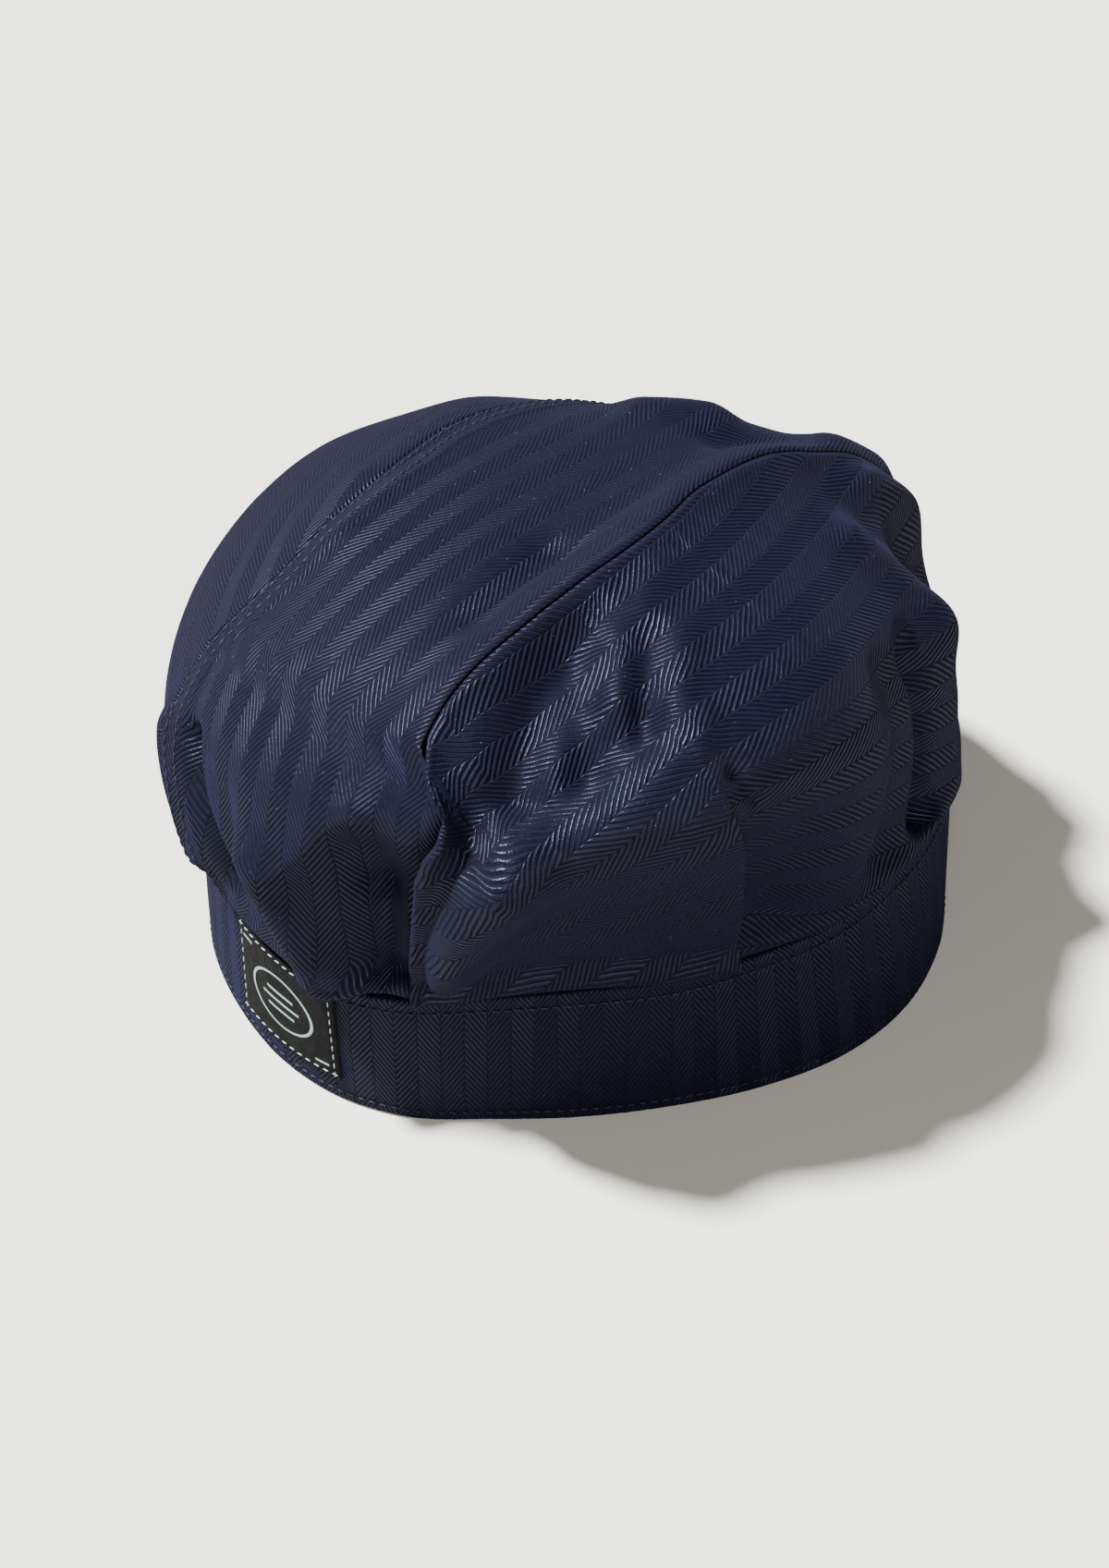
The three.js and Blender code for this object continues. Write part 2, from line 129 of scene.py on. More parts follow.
CROWN_ROWS = (
    CrownRow(0, 1.00, 0.36, 0.90, 0.70), CrownRow(30, 0.96, 0.36, 0.88, 0.72),
    CrownRow(60, 0.90, 0.36, 0.84, 0.74), CrownRow(90, 0.87, 0.36, 0.78, 0.74),
    CrownRow(120, 0.84, 0.36, 0.72, 0.70), CrownRow(150, 0.90, 0.34, 0.76, 0.66),
    CrownRow(180, 1.00, 0.26, 0.84, 0.63), CrownRow(210, 1.00, 0.24, 0.74, 0.63),
    CrownRow(240, 0.93, 0.26, 0.78, 0.65), CrownRow(270, 0.90, 0.32, 0.82, 0.70),
    CrownRow(300, 0.92, 0.32, 0.81, 0.70), CrownRow(330, 0.97, 0.34, 0.83, 0.70),
)

SEAM_ROWS = (
    SeamRow(-1.00, 0.360, -0.270), SeamRow(-0.75, 0.315, -0.275), SeamRow(-0.55, 0.245, -0.260),
    SeamRow(-0.45, 0.185, -0.235), SeamRow(-0.35, 0.148, -0.205), SeamRow(-0.20, 0.140, -0.200),
    SeamRow(0.00, 0.142, -0.225), SeamRow(0.30, 0.110, -0.215), SeamRow(0.60, 0.160, -0.240),
    SeamRow(1.00, 0.330, -0.330),
)

# The main folds, those of the solids; by the right seam they are gentler and placed more finely.
FOLDS = (
    Fold(38, 0.72, 36, 0.53, 6.8, -6.2), Fold(44, 0.77, 46, 0.57, 5.5, -4.0),
    Fold(72, 0.81, 52, 0.66, 4.6, 1.7), Fold(60, 0.73, 56, 0.61, 4.2, -2.0),
    Fold(70, 0.72, 61, 0.61, 4.6, 1.5), Fold(137, 0.62, 133, 0.40, 7.0, 3.0),
    Fold(22, 0.76, 33, 0.88, 7.0, -3.5), Fold(322, 0.70, 303, 0.74, 8.0, 3.4),
    Fold(1, 0.27, 11, 0.03, 6.0, 6.0), Fold(16, 0.36, 20, 0.06, 7.5, -4.6),
    Fold(161, 0.60, 164, 0.52, 12.0, 12.0), Fold(147, 0.50, 150, 0.38, 6.0, -3.0),
    Fold(120, 0.43, 116, 0.09, 5.0, -8.5), Fold(131, 0.40, 129, 0.10, 7.5, 4.0),
    Fold(343, 0.37, 352, 0.13, 4.0, -9.0), Fold(335, 0.32, 343, 0.12, 6.0, 3.2),
    Fold(82, 0.30, 76, 0.12, 8.0, -1.5), Fold(12, 0.66, 345, 0.56, 12.0, 1.5),
    Fold(258, 0.74, 246, 0.62, 12.0, 1.5), Fold(202, 0.77, 187, 0.74, 8.0, 3.5),
    Fold(171, 0.78, 166, 0.70, 7.0, -3.2),
)

# Creases that only the cloth's surface shows: a sharper roll and hollow by the first pleat, and
# small folds where the right panel is gathered at its seam.
CREASES = (
    Fold(30, 0.50, 32, 0.42, 4.5, -2.4), Fold(31, 0.45, 19, 0.25, 5.0, -4.0),
    Fold(36, 0.37, 26, 0.12, 9.0, 8.6), Fold(29, 0.27, 24, 0.13, 6.0, 2.8),
    Fold(68, 0.51, 71, 0.44, 2.4, -1.6), Fold(108, 0.44, 102, 0.10, 10.0, -4.0),
    Fold(5, 0.27, 15, 0.45, 5.0, 2.2), Fold(353, 0.32, 359, 0.14, 8.0, -2.5),
    Fold(54, 0.65, 54, 0.61, 2.6, 0.8), Fold(63, 0.58, 46, 0.46, 4.6, 1.1),
    Fold(55, 0.62, 43, 0.51, 6.5, -3.6), Fold(67, 0.61, 64, 0.56, 2.6, 0.7),
)

# The first pleat's edge: a little under the seam's line at its foot, out at the pinch above.
LAP_EDGE = (
    LapRow(-1.00, 0.002), LapRow(-0.95, -0.008), LapRow(-0.86, -0.013), LapRow(-0.62, -0.006),
    LapRow(-0.55, 0.010), LapRow(-0.50, 0.037), LapRow(-0.465, 0.046), LapRow(-0.445, 0.034),
    LapRow(-0.42, 0.014), LapRow(-0.38, 0.0),
)

SEAM_STITCH = Stitch(2.9, 2.1, 0.5)
BAND_STITCH = Stitch(2.7, 2.0, 0.5)
LABEL_STITCH = Stitch(2.6, 1.7, 0.35)


class Side(enum.Enum):
    """Which side panel, by the wearer's hand."""

    RIGHT = 1
    LEFT = -1

    @property
    def column(self) -> str:
        """Name of the seam's column in the seam table."""
        return self.name.lower()


def smoothstep(value: np.ndarray, low: float, high: float) -> np.ndarray:
    """Smooth step from 0 at low to 1 at high."""
    t = np.clip((value - low) / (high - low), 0.0, 1.0)
    return t * t * (3.0 - 2.0 * t)


def hump(value: np.ndarray, centre: float, wide: float) -> np.ndarray:
    """Smooth hump, 1 high at its centre."""
    return np.exp(-(((value - centre) / wide) ** 2))


def hermite(p0: np.ndarray, p1: np.ndarray, m0: np.ndarray, m1: np.ndarray, t: np.ndarray) -> np.ndarray:
    """Cubic through two values with given end slopes."""
    t2, t3 = t * t, t * t * t
    return (2 * t3 - 3 * t2 + 1) * p0 + (t3 - 2 * t2 + t) * m0 + (-2 * t3 + 3 * t2) * p1 + (t3 - t2) * m1


def by_angle(rows: tuple, column: str, degrees: np.ndarray) -> np.ndarray:
    """Periodic smooth curve through one column of a table by angle.

    Args:
        rows: table rows with an angle field, in rising order.
        column: field to read.
        degrees: angles to look up.

    Returns:
        The column's value at each angle.
    """
    base = np.array([r.angle for r in rows], float)
    values = np.tile([getattr(r, column) for r in rows], 3)
    knots = np.concatenate([base - 360, base, base + 360])
    step = np.diff(knots)
    rate = np.diff(values) / step
    slope = np.zeros_like(values)
    slope[1:-1] = (rate[:-1] * step[1:] + rate[1:] * step[:-1]) / (step[:-1] + step[1:])
    x = np.mod(degrees, 360.0)
    i = np.clip(np.searchsorted(knots, x, side="right") - 1, 0, len(knots) - 2)
    t = (x - knots[i]) / step[i]
    return hermite(values[i], values[i + 1], slope[i] * step[i], slope[i + 1] * step[i], t)


def through_knots(
    knots: tuple, values: list, x: np.ndarray, start_slope: np.ndarray, end_slope: np.ndarray
) -> np.ndarray:
    """Smooth open curve through values at fixed knots.

    Args:
        knots: where the values stand.
        values: one array for each knot.
        x: places to look up.
        start_slope: slope at the first knot.
        end_slope: slope at the last knot.

    Returns:
        The curve's value at each place.
    """
    k = np.array(knots, float)
    table = np.stack([np.broadcast_to(v, x.shape) for v in values])
    step = np.diff(k)
    slope = np.zeros_like(table)
    slope[0], slope[-1] = start_slope, end_slope
    for n in range(1, len(k) - 1):
        before = (table[n] - table[n - 1]) / step[n - 1]
        after = (table[n + 1] - table[n]) / step[n]
        slope[n] = (before * step[n] + after * step[n - 1]) / (step[n - 1] + step[n])
    i = np.clip(np.searchsorted(k, x, side="right") - 1, 0, len(k) - 2)
    t = np.clip((x - k[i]) / step[i], 0.0, 1.0)

    def take(source: np.ndarray, index: np.ndarray) -> np.ndarray:
        """Entry of a stacked table at each place's own knot."""
        flat = source.reshape(len(k), -1)
        return np.take_along_axis(flat, index.reshape(1, -1), 0).reshape(index.shape)

    return hermite(
        take(table, i), take(table, i + 1), take(slope, i) * step[i], take(slope, i + 1) * step[i], t
    )


def unit(vectors: np.ndarray) -> np.ndarray:
    """Vectors of the same directions, one long."""
    return vectors / np.maximum(np.linalg.norm(vectors, axis=-1, keepdims=True), TINY)


def grid_normals(points: np.ndarray) -> np.ndarray:
    """Outward directions of a grid of points, first index times second index."""
    return unit(np.cross(np.gradient(points, axis=0), np.gradient(points, axis=1)))


def value_noise(points: np.ndarray, scale: float, seed: int) -> np.ndarray:
    """Smooth noise from -1 to 1 over points in space, the same on every run.

    Args:
        points: array of shape (..., 3), in mm.
        scale: size of a lump, in mm.
        seed: choice of pattern.

    Returns:
        Noise of the points' shape without its last axis.
    """
    side = NOISE_SIDE
    table = np.random.default_rng(seed).uniform(-1, 1, (side, side, side))
    q = points / scale + NOISE_START
    i = np.floor(q).astype(int)
    f = q - i
    f = f * f * (3 - 2 * f)
    out = np.zeros(points.shape[:-1])
    for corner in range(8):
        dx, dy, dz = corner & 1, (corner >> 1) & 1, corner >> 2
        weight = (
            (f[..., 0] if dx else 1 - f[..., 0])
            * (f[..., 1] if dy else 1 - f[..., 1])
            * (f[..., 2] if dz else 1 - f[..., 2])
        )
        out += weight * table[(i[..., 0] + dx) % side, (i[..., 1] + dy) % side, (i[..., 2] + dz) % side]
    return out


@dataclass
class CapForm:
    """The cap's outer form, from the same named sizes and tables as the solids, in mm."""

    half: float = 100.0
    band_h: float = 36.0
    band_t: float = 2.4
    foot_round: float = 0.5
    rim_round: float = 0.7
    crown_h: float = 87.0
    cloth: float = 1.3
    gap: float = 0.3
    tuck: float = 6.0
    lean: tuple = (8.0, -8.0)
    lean_power: float = 1.5
    lip_clear: float = 0.1
    lip_out: float = 0.3
    lip_z: float = 1.9
    low_reach: float = 0.55
    low_z: float = 0.33
    top_reach: float = 0.55
    top_z: float = 0.955
    knots: tuple = (0.0, 0.03, 0.10, 0.24, 0.52, 0.76, 1.0)
    stiff: float = 0.80
    stiff_reach: float = 0.045
    stiff_from: tuple = (0.38, 0.52)
    lap_high: float = 3.2
    lap_top: float = -0.47
    lap_reach: float = 0.16
    pleat_along: float = -0.275
    pleat_high: float = 4.4
    pleat_reach: float = 24.0
    pleat_top: float = 0.56
    end_t: float = 0.985
    seam_power: float = 1.5
    offset: np.ndarray = field(default_factory=lambda: np.zeros(3))

    def settle(self, low: Vector, high: Vector) -> None:
        """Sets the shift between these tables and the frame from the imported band's box.

        Args:
            low: band's lowest corner in the frame, in metres.
            high: band's highest corner in the frame, in metres.
        """
        angle = np.arange(0, 360, 5.0)
        ends = (self.foot_round, self.band_h - self.rim_round)
        ring = np.concatenate([self.band_point(angle, np.full_like(angle, z)) for z in ends])
        middle = (ring.min(0) + ring.max(0)) / 2
        frame_middle = (np.array(low) + np.array(high)) / 2 / MM
        self.offset = np.array([middle[0] - frame_middle[0], middle[1] - frame_middle[1], 0.0])

    def to_frame(self, points: np.ndarray) -> np.ndarray:
        """Points in the frame, in metres."""
        return (points - self.offset) * MM

    def reach(self, column: str, angle: np.ndarray) -> np.ndarray:
        """Band's reach at its foot or rim."""
        return by_angle(BAND_ROWS, column, angle) * self.half

    def band_point(self, angle: np.ndarray, z: np.ndarray, out: float | np.ndarray = 0.0) -> np.ndarray:
        """Points of the band's outer face.

        Args:
            angle: degrees from the back centre.
            z: height in mm.
            out: distance outwards in mm.

        Returns:
            Array of shape (..., 3).
        """
        foot, rim = self.reach("foot", angle), self.reach("rim", angle)
        r = foot + (rim - foot) * z / self.band_h + out
        a = np.radians(angle)
        return np.stack([r * np.sin(a), -r * np.cos(a), z + 0 * r], -1)

    def smooth(self, x: np.ndarray, y: np.ndarray) -> np.ndarray:
        """Points of the smooth crown at disk places, without folds.

        Args:
            x: disk x, rim at radius 1 and apex at 0.
            y: disk y, back at -1.

        Returns:
            Array of shape (..., 3), in mm.
        """
        angle = np.degrees(np.arctan2(x, -y))
        rise = 1 - np.hypot(x, y)
        rim, foot = self.reach("rim", angle), self.reach("foot", angle)
        lip = rim - self.band_t - self.gap - self.lip_clear
        belly = by_angle(CROWN_ROWS, "belly", angle) * self.half
        belly_z = by_angle(CROWN_ROWS, "belly_z", angle) * self.crown_h
        shoulder = by_angle(CROWN_ROWS, "shoulder", angle) * self.half
        shoulder_z = by_angle(CROWN_ROWS, "shoulder_z", angle) * self.crown_h
        k = self.knots
        reach = [
            lip, rim + self.lip_out, rim + (belly - rim) * self.low_reach, belly, shoulder,
            self.top_reach * shoulder, 0 * rim,
        ]
        zero = 0 * rim
        height = [
            zero, zero + self.lip_z, belly_z * self.low_z, belly_z, shoulder_z,
            zero + self.top_z * self.crown_h, zero + self.crown_h,
        ]
        r = through_knots(k, reach, rise, (reach[1] - reach[0]) / k[1], -reach[5] / (k[6] - k[5]))
        z = through_knots(k, height, rise, height[1] / k[1], zero)
        r = np.where(rise < 0, lip + (rim - foot) * rise * self.half / self.band_h, r)
        z = np.where(rise < 0, rise * self.half, z)
        slump = np.clip(z / self.crown_h, 0, None) ** self.lean_power
        a = np.radians(angle)
        return np.stack(
            [
                r * np.sin(a) + self.lean[0] * slump,
                -r * np.cos(a) + self.lean[1] * slump,
                self.band_h + z,
            ],
            -1,
        )

    def smooth_polar(self, angle: float, rise: float) -> np.ndarray:
        """One point of the smooth crown by angle and rise."""
        a = math.radians(angle)
        return self.smooth(np.array((1 - rise) * math.sin(a)), np.array(-(1 - rise) * math.cos(a)))

    def fold_height(self, points: np.ndarray, folds: tuple) -> np.ndarray:
        """Sum of folds at points of the smooth crown.

        Args:
            points: array of shape (..., 3).
            folds: table of folds.

        Returns:
            Heights in mm.
        """
        total = np.zeros(points.shape[:-1])
        for f in folds:
            start = self.smooth_polar(f.a0, f.r0)
            line = self.smooth_polar(f.a1, f.r1) - start
            t = np.clip(((points - start) @ line) / (line @ line), 0, 1)
            d = np.linalg.norm(points - start - t[..., None] * line, axis=-1) / f.wide
            total += np.where(d < 3, f.high * np.exp(-np.minimum(d, 3) ** 2), 0)
        return total

    def seam_x(self, column: str, along: np.ndarray) -> np.ndarray:
        """Disk x of a seam.

        Args:
            column: the seam's column in its table.
            along: places along the panels.

        Returns:
            Disk x at each place.
        """
        knots = tuple(r.along for r in SEAM_ROWS)
        values = [np.full(np.shape(along), getattr(r, column), float) for r in SEAM_ROWS]
        return through_knots(knots, values, np.asarray(along, float), 0.0, 0.0)

    def seam_hold(self, x: np.ndarray, y: np.ndarray) -> np.ndarray:
        """Share of a fold's height left near the stiff seams.

        Args:
            x: disk x.
            y: disk y.

        Returns:
            Share from 0 to 1 at each place.
        """
        along = np.clip(y / np.sqrt(1 - np.minimum(0.9, x * x)), -1, 1)
        right = (x - self.seam_x("right", along)) / self.stiff_reach
        left = (x - self.seam_x("left", along)) / self.stiff_reach
        sewn = np.exp(-left * left) * smoothstep(1 - np.hypot(x, y), *self.stiff_from)
        return 1 - self.stiff * np.maximum(np.exp(-right * right), sewn)


def new_object(name: str, data: bpy.types.ID) -> bpy.types.Object:
    """Adds an object to the scene.

    Args:
        name: the object's name.
        data: its mesh, light or camera.

    Returns:
        The new object.
    """
    made = bpy.data.objects.new(name, data)
    bpy.context.scene.collection.objects.link(made)
    return made


@dataclass
class MeshMaker:
    """Turns grids of points into named mesh objects that ride on the cap."""

    form: CapForm

    def shell(self, name: str, points: np.ndarray, uv: np.ndarray, thick: float) -> bpy.types.Object:
        """Closed shell from an outer grid whose first index times second points outwards.

        Args:
            name: object's name.
            points: outer grid of shape (n, m, 3), in mm.
            uv: cloth coordinates of shape (n, m, 2), in mm.
            thick: wall's thickness in mm.

        Returns:
            The new object, with smooth faces.
        """
        n, m = points.shape[:2]
        inner = points - grid_normals(points) * thick
        verts = np.concatenate([points.reshape(-1, 3), inner.reshape(-1, 3)])
        index = np.arange(n * m).reshape(n, m)
        a, b, c, d = index[:-1, :-1], index[1:, :-1], index[1:, 1:], index[:-1, 1:]
        outer_faces = np.stack([a, b, c, d], -1).reshape(-1, 4)
        inner_faces = np.stack([a, d, c, b], -1).reshape(-1, 4) + n * m
        rim = []
        for strip, turn in (
            (index[:, 0], True), (index[:, -1], False), (index[0, :], False), (index[-1, :], True)
        ):
            p, q = strip[:-1], strip[1:]
            if turn:
                rim.append(np.stack([p, p + n * m, q + n * m, q], -1))
            else:
                rim.append(np.stack([p, q, q + n * m, p + n * m], -1))
        faces = np.concatenate([outer_faces, inner_faces, *rim])
        return self.build(name, verts, faces, uv.reshape(-1, 2))

    def build(self, name: str, verts: np.ndarray, faces: np.ndarray, uv: np.ndarray) -> bpy.types.Object:
        """Mesh object from vertices and quads.

        Args:
            name: object's name.
            verts: points in mm, before the frame's shift.
            faces: quads by vertex number.
            uv: cloth coordinates of the outer vertices, repeated for the inner ones.

        Returns:
            The new object, with smooth faces.
        """
        mesh = bpy.data.meshes.new(name)
        mesh.vertices.add(len(verts))
        mesh.vertices.foreach_set("co", self.form.to_frame(verts).astype(np.float32).ravel())
        mesh.loops.add(faces.size)
        mesh.polygons.add(len(faces))
        mesh.loops.foreach_set("vertex_index", faces.astype(np.int32).ravel())
        mesh.polygons.foreach_set("loop_start", np.arange(0, faces.size, 4, dtype=np.int32))
        mesh.polygons.foreach_set("use_smooth", np.ones(len(faces), bool))
        layer = mesh.uv_layers.new(name="cloth")
        repeat = -(-len(verts) // len(uv))
        flat = np.tile(uv, (repeat, 1))[: len(verts)]
        layer.data.foreach_set("uv", flat[faces.ravel()].astype(np.float32).ravel())
        mesh.update(calc_edges=True)
        mesh.validate()
        return new_object(name, mesh)


class Graph:
    """Short calls for building a node tree."""

    def __init__(self, tree: bpy.types.NodeTree) -> None:
        """Keeps the tree that nodes are added to."""
        self.tree = tree

    def node(self, kind: str, **values: object) -> bpy.types.Node:
        """New node with its properties set.

        Args:
            kind: the node's type.
            values: properties and what they are set to.

        Returns:
            The new node.
        """
        made = self.tree.nodes.new(kind)
        for key, value in values.items():
            setattr(made, key, value)
        return made

    def feed(self, socket: bpy.types.NodeSocket, value: object) -> None:
        """Links or sets one input socket.

        Args:
            socket: the input.
            value: an output to link, or a plain value.
        """
        if isinstance(value, bpy.types.NodeSocket):
            self.tree.links.new(value, socket)
        else:
            socket.default_value = value

    def math(self, operation: str, *values: object, clamp: bool = False) -> bpy.types.NodeSocket:
        """Adds a math node.

        Args:
            operation: the node's operation.
            values: its inputs in order, as outputs or numbers.
            clamp: whether the result is kept from 0 to 1.

        Returns:
            The node's output.
        """
        made = self.node("ShaderNodeMath", operation=operation, use_clamp=clamp)
        for socket, value in zip(made.inputs, values):
            self.feed(socket, value)
        return made.outputs[0]

    def remap(
        self, value: object, low: float, high: float, to_low: float = 0.0, to_high: float = 1.0
    ) -> bpy.types.NodeSocket:
        """Adds a smooth map of a value from one range to another.

        Args:
            value: what is mapped.
            low: where the first range starts.
            high: where the first range ends.
            to_low: result at low.
            to_high: result at high.

        Returns:
            The node's output.
        """
        made = self.node("ShaderNodeMapRange", interpolation_type="SMOOTHSTEP")
        for socket, given in zip(made.inputs, (value, low, high, to_low, to_high)):
            self.feed(socket, given)
        return made.outputs[0]

    def mix(self, share: object, first: object, second: object, blend: str = "MIX") -> bpy.types.NodeSocket:
        """Adds a mix of two colours.

        Args:
            share: how much of the second colour.
            first: first colour.
            second: second colour.
            blend: the node's way of blending.

        Returns:
            The mixed colour.
        """
        made = self.node("ShaderNodeMix", data_type="RGBA", blend_type=blend)
        self.feed(made.inputs[0], share)
        self.feed(made.inputs[6], first)
        self.feed(made.inputs[7], second)
        return made.outputs[2]

    def noise(self, vector: object, scale: float, detail: float = 2.0) -> bpy.types.NodeSocket:
        """Adds a noise texture.

        Args:
            vector: where it is read.
            scale: lumps to a unit of the vector.
            detail: finer layers on top.

        Returns:
            The noise's value.
        """
        made = self.node("ShaderNodeTexNoise")
        self.feed(made.inputs["Vector"], vector)
        made.inputs["Scale"].default_value = scale
        made.inputs["Detail"].default_value = detail
        return made.outputs["Fac"]

    def bump(self, height: bpy.types.NodeSocket, strength: float, distance: float) -> bpy.types.NodeSocket:
        """Adds a bump.

        Args:
            height: the relief, from 0 to about 1.
            strength: share of the bump.
            distance: the relief's depth in metres.

        Returns:
            The bumped normal.
        """
        made = self.node("ShaderNodeBump")
        made.inputs["Strength"].default_value = strength
        made.inputs["Distance"].default_value = distance
        self.feed(made.inputs["Height"], height)
        return made.outputs[0]

    def group(self, tree: bpy.types.NodeTree, given: object) -> bpy.types.Node:
        """Adds a group.

        Args:
            tree: the node group.
            given: what its first input takes.

        Returns:
            The group's node.
        """
        made = self.node("ShaderNodeGroup", node_tree=tree)
        self.feed(made.inputs[0], given)
        return made


def new_material(name: str) -> tuple[bpy.types.Material, Graph, bpy.types.Node]:
    """Starts a material.

    Args:
        name: the material's name.

    Returns:
        The material, its graph and its Principled node.
    """
    made = bpy.data.materials.new(name)
    made.use_nodes = True
    return made, Graph(made.node_tree), made.node_tree.nodes["Principled BSDF"]


def new_group(name: str, kind: str, given: dict[str, object], results: dict[str, str]) -> bpy.types.NodeTree:
    """Starts a node group with its sockets.

    Args:
        name: the group's name.
        kind: the tree's type.
        given: inputs in order, each with a number it starts from or its kind of socket.
        results: outputs in order, each with its kind of socket.

    Returns:
        The new group.
    """
    tree = bpy.data.node_groups.new(name, kind)
    for key, value in given.items():
        if isinstance(value, str):
            tree.interface.new_socket(key, in_out="INPUT", socket_type="NodeSocket" + value)
        else:
            socket = tree.interface.new_socket(key, in_out="INPUT", socket_type="NodeSocketFloat")
            socket.default_value = value
    for key, value in results.items():
        tree.interface.new_socket(key, in_out="OUTPUT", socket_type="NodeSocket" + value)
    return tree


def twill_group() -> bpy.types.NodeTree:
    """Herringbone twill over cloth coordinates in mm.

    Returns:
        Shader node group with outputs Height and Thread, each from 0 to 1.
    """
    sizes = {"Column Width": 5.2, "Rise": 1.80, "Run": 1.20, "Waver": 0.10}
    tree = new_group(
        "herringbone", "ShaderNodeTree", {"Cloth": "Vector", **sizes}, {"Height": "Float", "Thread": "Float"}
    )
    g = Graph(tree)
    given = g.node("NodeGroupInput")
    out = g.node("NodeGroupOutput")
    sway = g.math("MULTIPLY", g.math("SUBTRACT", g.noise(given.outputs["Cloth"], 0.12, 2.0), 0.5),
                  g.math("MULTIPLY", given.outputs["Waver"], 4.0))
    parts = g.node("ShaderNodeSeparateXYZ")
    g.feed(parts.inputs[0], given.outputs["Cloth"])
    across = g.math("ADD", parts.outputs[0], sway)
    along = g.math("ADD", parts.outputs[1], sway)
    cell = g.math("DIVIDE", across, given.outputs["Column Width"])
    number = g.math("FLOOR", cell)
    inside = g.math("SUBTRACT", cell, number)
    odd = g.math("MODULO", g.math("ABSOLUTE", number), 2.0)
    way = g.math("SUBTRACT", g.math("MULTIPLY", odd, 2.0), 1.0)
    slant = g.math("MULTIPLY", g.math("DIVIDE", across, given.outputs["Run"]), way)
    phase = g.math("ADD", g.math("DIVIDE", along, given.outputs["Rise"]), slant)
    wave = g.math("SINE", g.math("MULTIPLY", phase, 2 * math.pi))
    line = g.math("ADD", g.math("MULTIPLY", wave, 0.5), 0.5)
    edge = g.math("MULTIPLY", g.math("ABSOLUTE", g.math("SUBTRACT", inside, 0.5)), 2.0)
    broken = g.remap(edge, 0.90, 1.0, 1.0, 0.35)
    # Thread also sets where the twill material paints shade into the grooves between wales.
    g.feed(out.inputs["Thread"], g.math("MULTIPLY", g.remap(line, 0.30, 0.80), broken))
    g.feed(out.inputs["Height"], g.math("MULTIPLY", g.math("POWER", line, 0.7), broken))
    return tree


def yarn_group() -> bpy.types.NodeTree:
    """Uneven yarn and soft fluff, which every cloth and thread here shows.

    Returns:
        Shader node group with outputs Fluff, Tone and Patch, each from 0 to 1.
    """
    lumps = {"Fluff": 2200.0, "Tone": 420.0, "Patch": 38.0}
    tree = new_group("uneven_yarn", "ShaderNodeTree", {"Place": "Vector"}, dict.fromkeys(lumps, "Float"))
    g = Graph(tree)
    given = g.node("NodeGroupInput")
    out = g.node("NodeGroupOutput")
    for name, scale in lumps.items():
        g.feed(out.inputs[name], g.noise(given.outputs["Place"], scale, 3.0))
    return tree


@dataclass(frozen=True)
class TwillFinish:
    """Dark herringbone twill, with the colour of its threads, painted shade in the grooves between its
    wales, and the depth of its weave.
    """

    name: str
    # Colour between the wales: partly the yarn's own deeper tone, partly painted shade for the grooves'
    # occlusion.
    dark: tuple = (0.0009, 0.0010, 0.0038, 1.0)
    light: tuple = (0.0030, 0.0033, 0.0125, 1.0)
    violet: tuple = (0.0039, 0.0030, 0.0108, 1.0)
    fluff: tuple = (0.012, 0.014, 0.030, 1.0)
    lint: tuple = (0.16, 0.17, 0.19, 1.0)
    lint_scale: float = 330.0
    glint: tuple = (0.56, 0.60, 1.0, 1.0)
    shine: float = 0.32
    fuzz: tuple = (0.17, 0.19, 1.0, 1.0)
    fuzz_share: float = 0.022
    fuzz_rough: float = 0.45
    rough: float = 0.30
    rough_between: float = 0.85
    rough_edge: float = 0.9
    relief: float = 0.00028

    def material(self, twill: bpy.types.NodeTree, yarn: bpy.types.NodeTree) -> bpy.types.Material:
        """Material that reads the piece's own cloth map.

        Args:
            twill: herringbone group.
            yarn: uneven yarn group.

        Returns:
            The new material.
        """
        made, g, shader = new_material(self.name)
        place = g.node("ShaderNodeTexCoord").outputs["Object"]
        weave = g.group(twill, g.node("ShaderNodeUVMap", uv_map="cloth").outputs[0])
        uneven = g.group(yarn, place)
        thread = weave.outputs["Thread"]
        lit = g.mix(g.math("MULTIPLY", uneven.outputs["Patch"], 0.8), self.light, self.violet)
        # Painted shade: the thread mask darkens the grooves between wales towards the dark colour, on top of
        # the yarn's own two tones.
        colour = g.mix(thread, self.dark, lit)
        fluff = g.remap(uneven.outputs["Fluff"], 0.52, 0.80, 0.0, 0.45)
        colour = g.mix(fluff, colour, self.fluff)
        shade = g.remap(uneven.outputs["Tone"], 0.2, 0.8, 0.72, 1.22)
        colour = g.mix(1.0, colour, shade, blend="MULTIPLY")
        lint = g.node("ShaderNodeTexVoronoi")
        lint.inputs["Scale"].default_value = self.lint_scale
        g.feed(lint.inputs["Vector"], place)
        speck = g.remap(lint.outputs["Distance"], 0.035, 0.05, 0.55, 0.0)
        colour = g.mix(speck, colour, self.lint)
        g.feed(shader.inputs["Base Color"], colour)
        rough = g.remap(thread, 0.0, 1.0, self.rough_between, self.rough)
        edge = g.math("POWER", g.node("ShaderNodeLayerWeight").outputs["Facing"], 2.0)
        edge = g.math("MULTIPLY", edge, self.rough_edge)
        g.feed(shader.inputs["Roughness"], g.math("ADD", rough, edge, clamp=True))
        shader.inputs["Specular IOR Level"].default_value = self.shine
        shader.inputs["Specular Tint"].default_value = self.glint
        shader.inputs["Sheen Weight"].default_value = self.fuzz_share
        shader.inputs["Sheen Roughness"].default_value = self.fuzz_rough
        shader.inputs["Sheen Tint"].default_value = self.fuzz
        height = g.math("ADD", weave.outputs["Height"], g.math("MULTIPLY", uneven.outputs["Fluff"], 0.45))
        g.feed(shader.inputs["Normal"], g.bump(height, 1.0, self.relief))
        return made


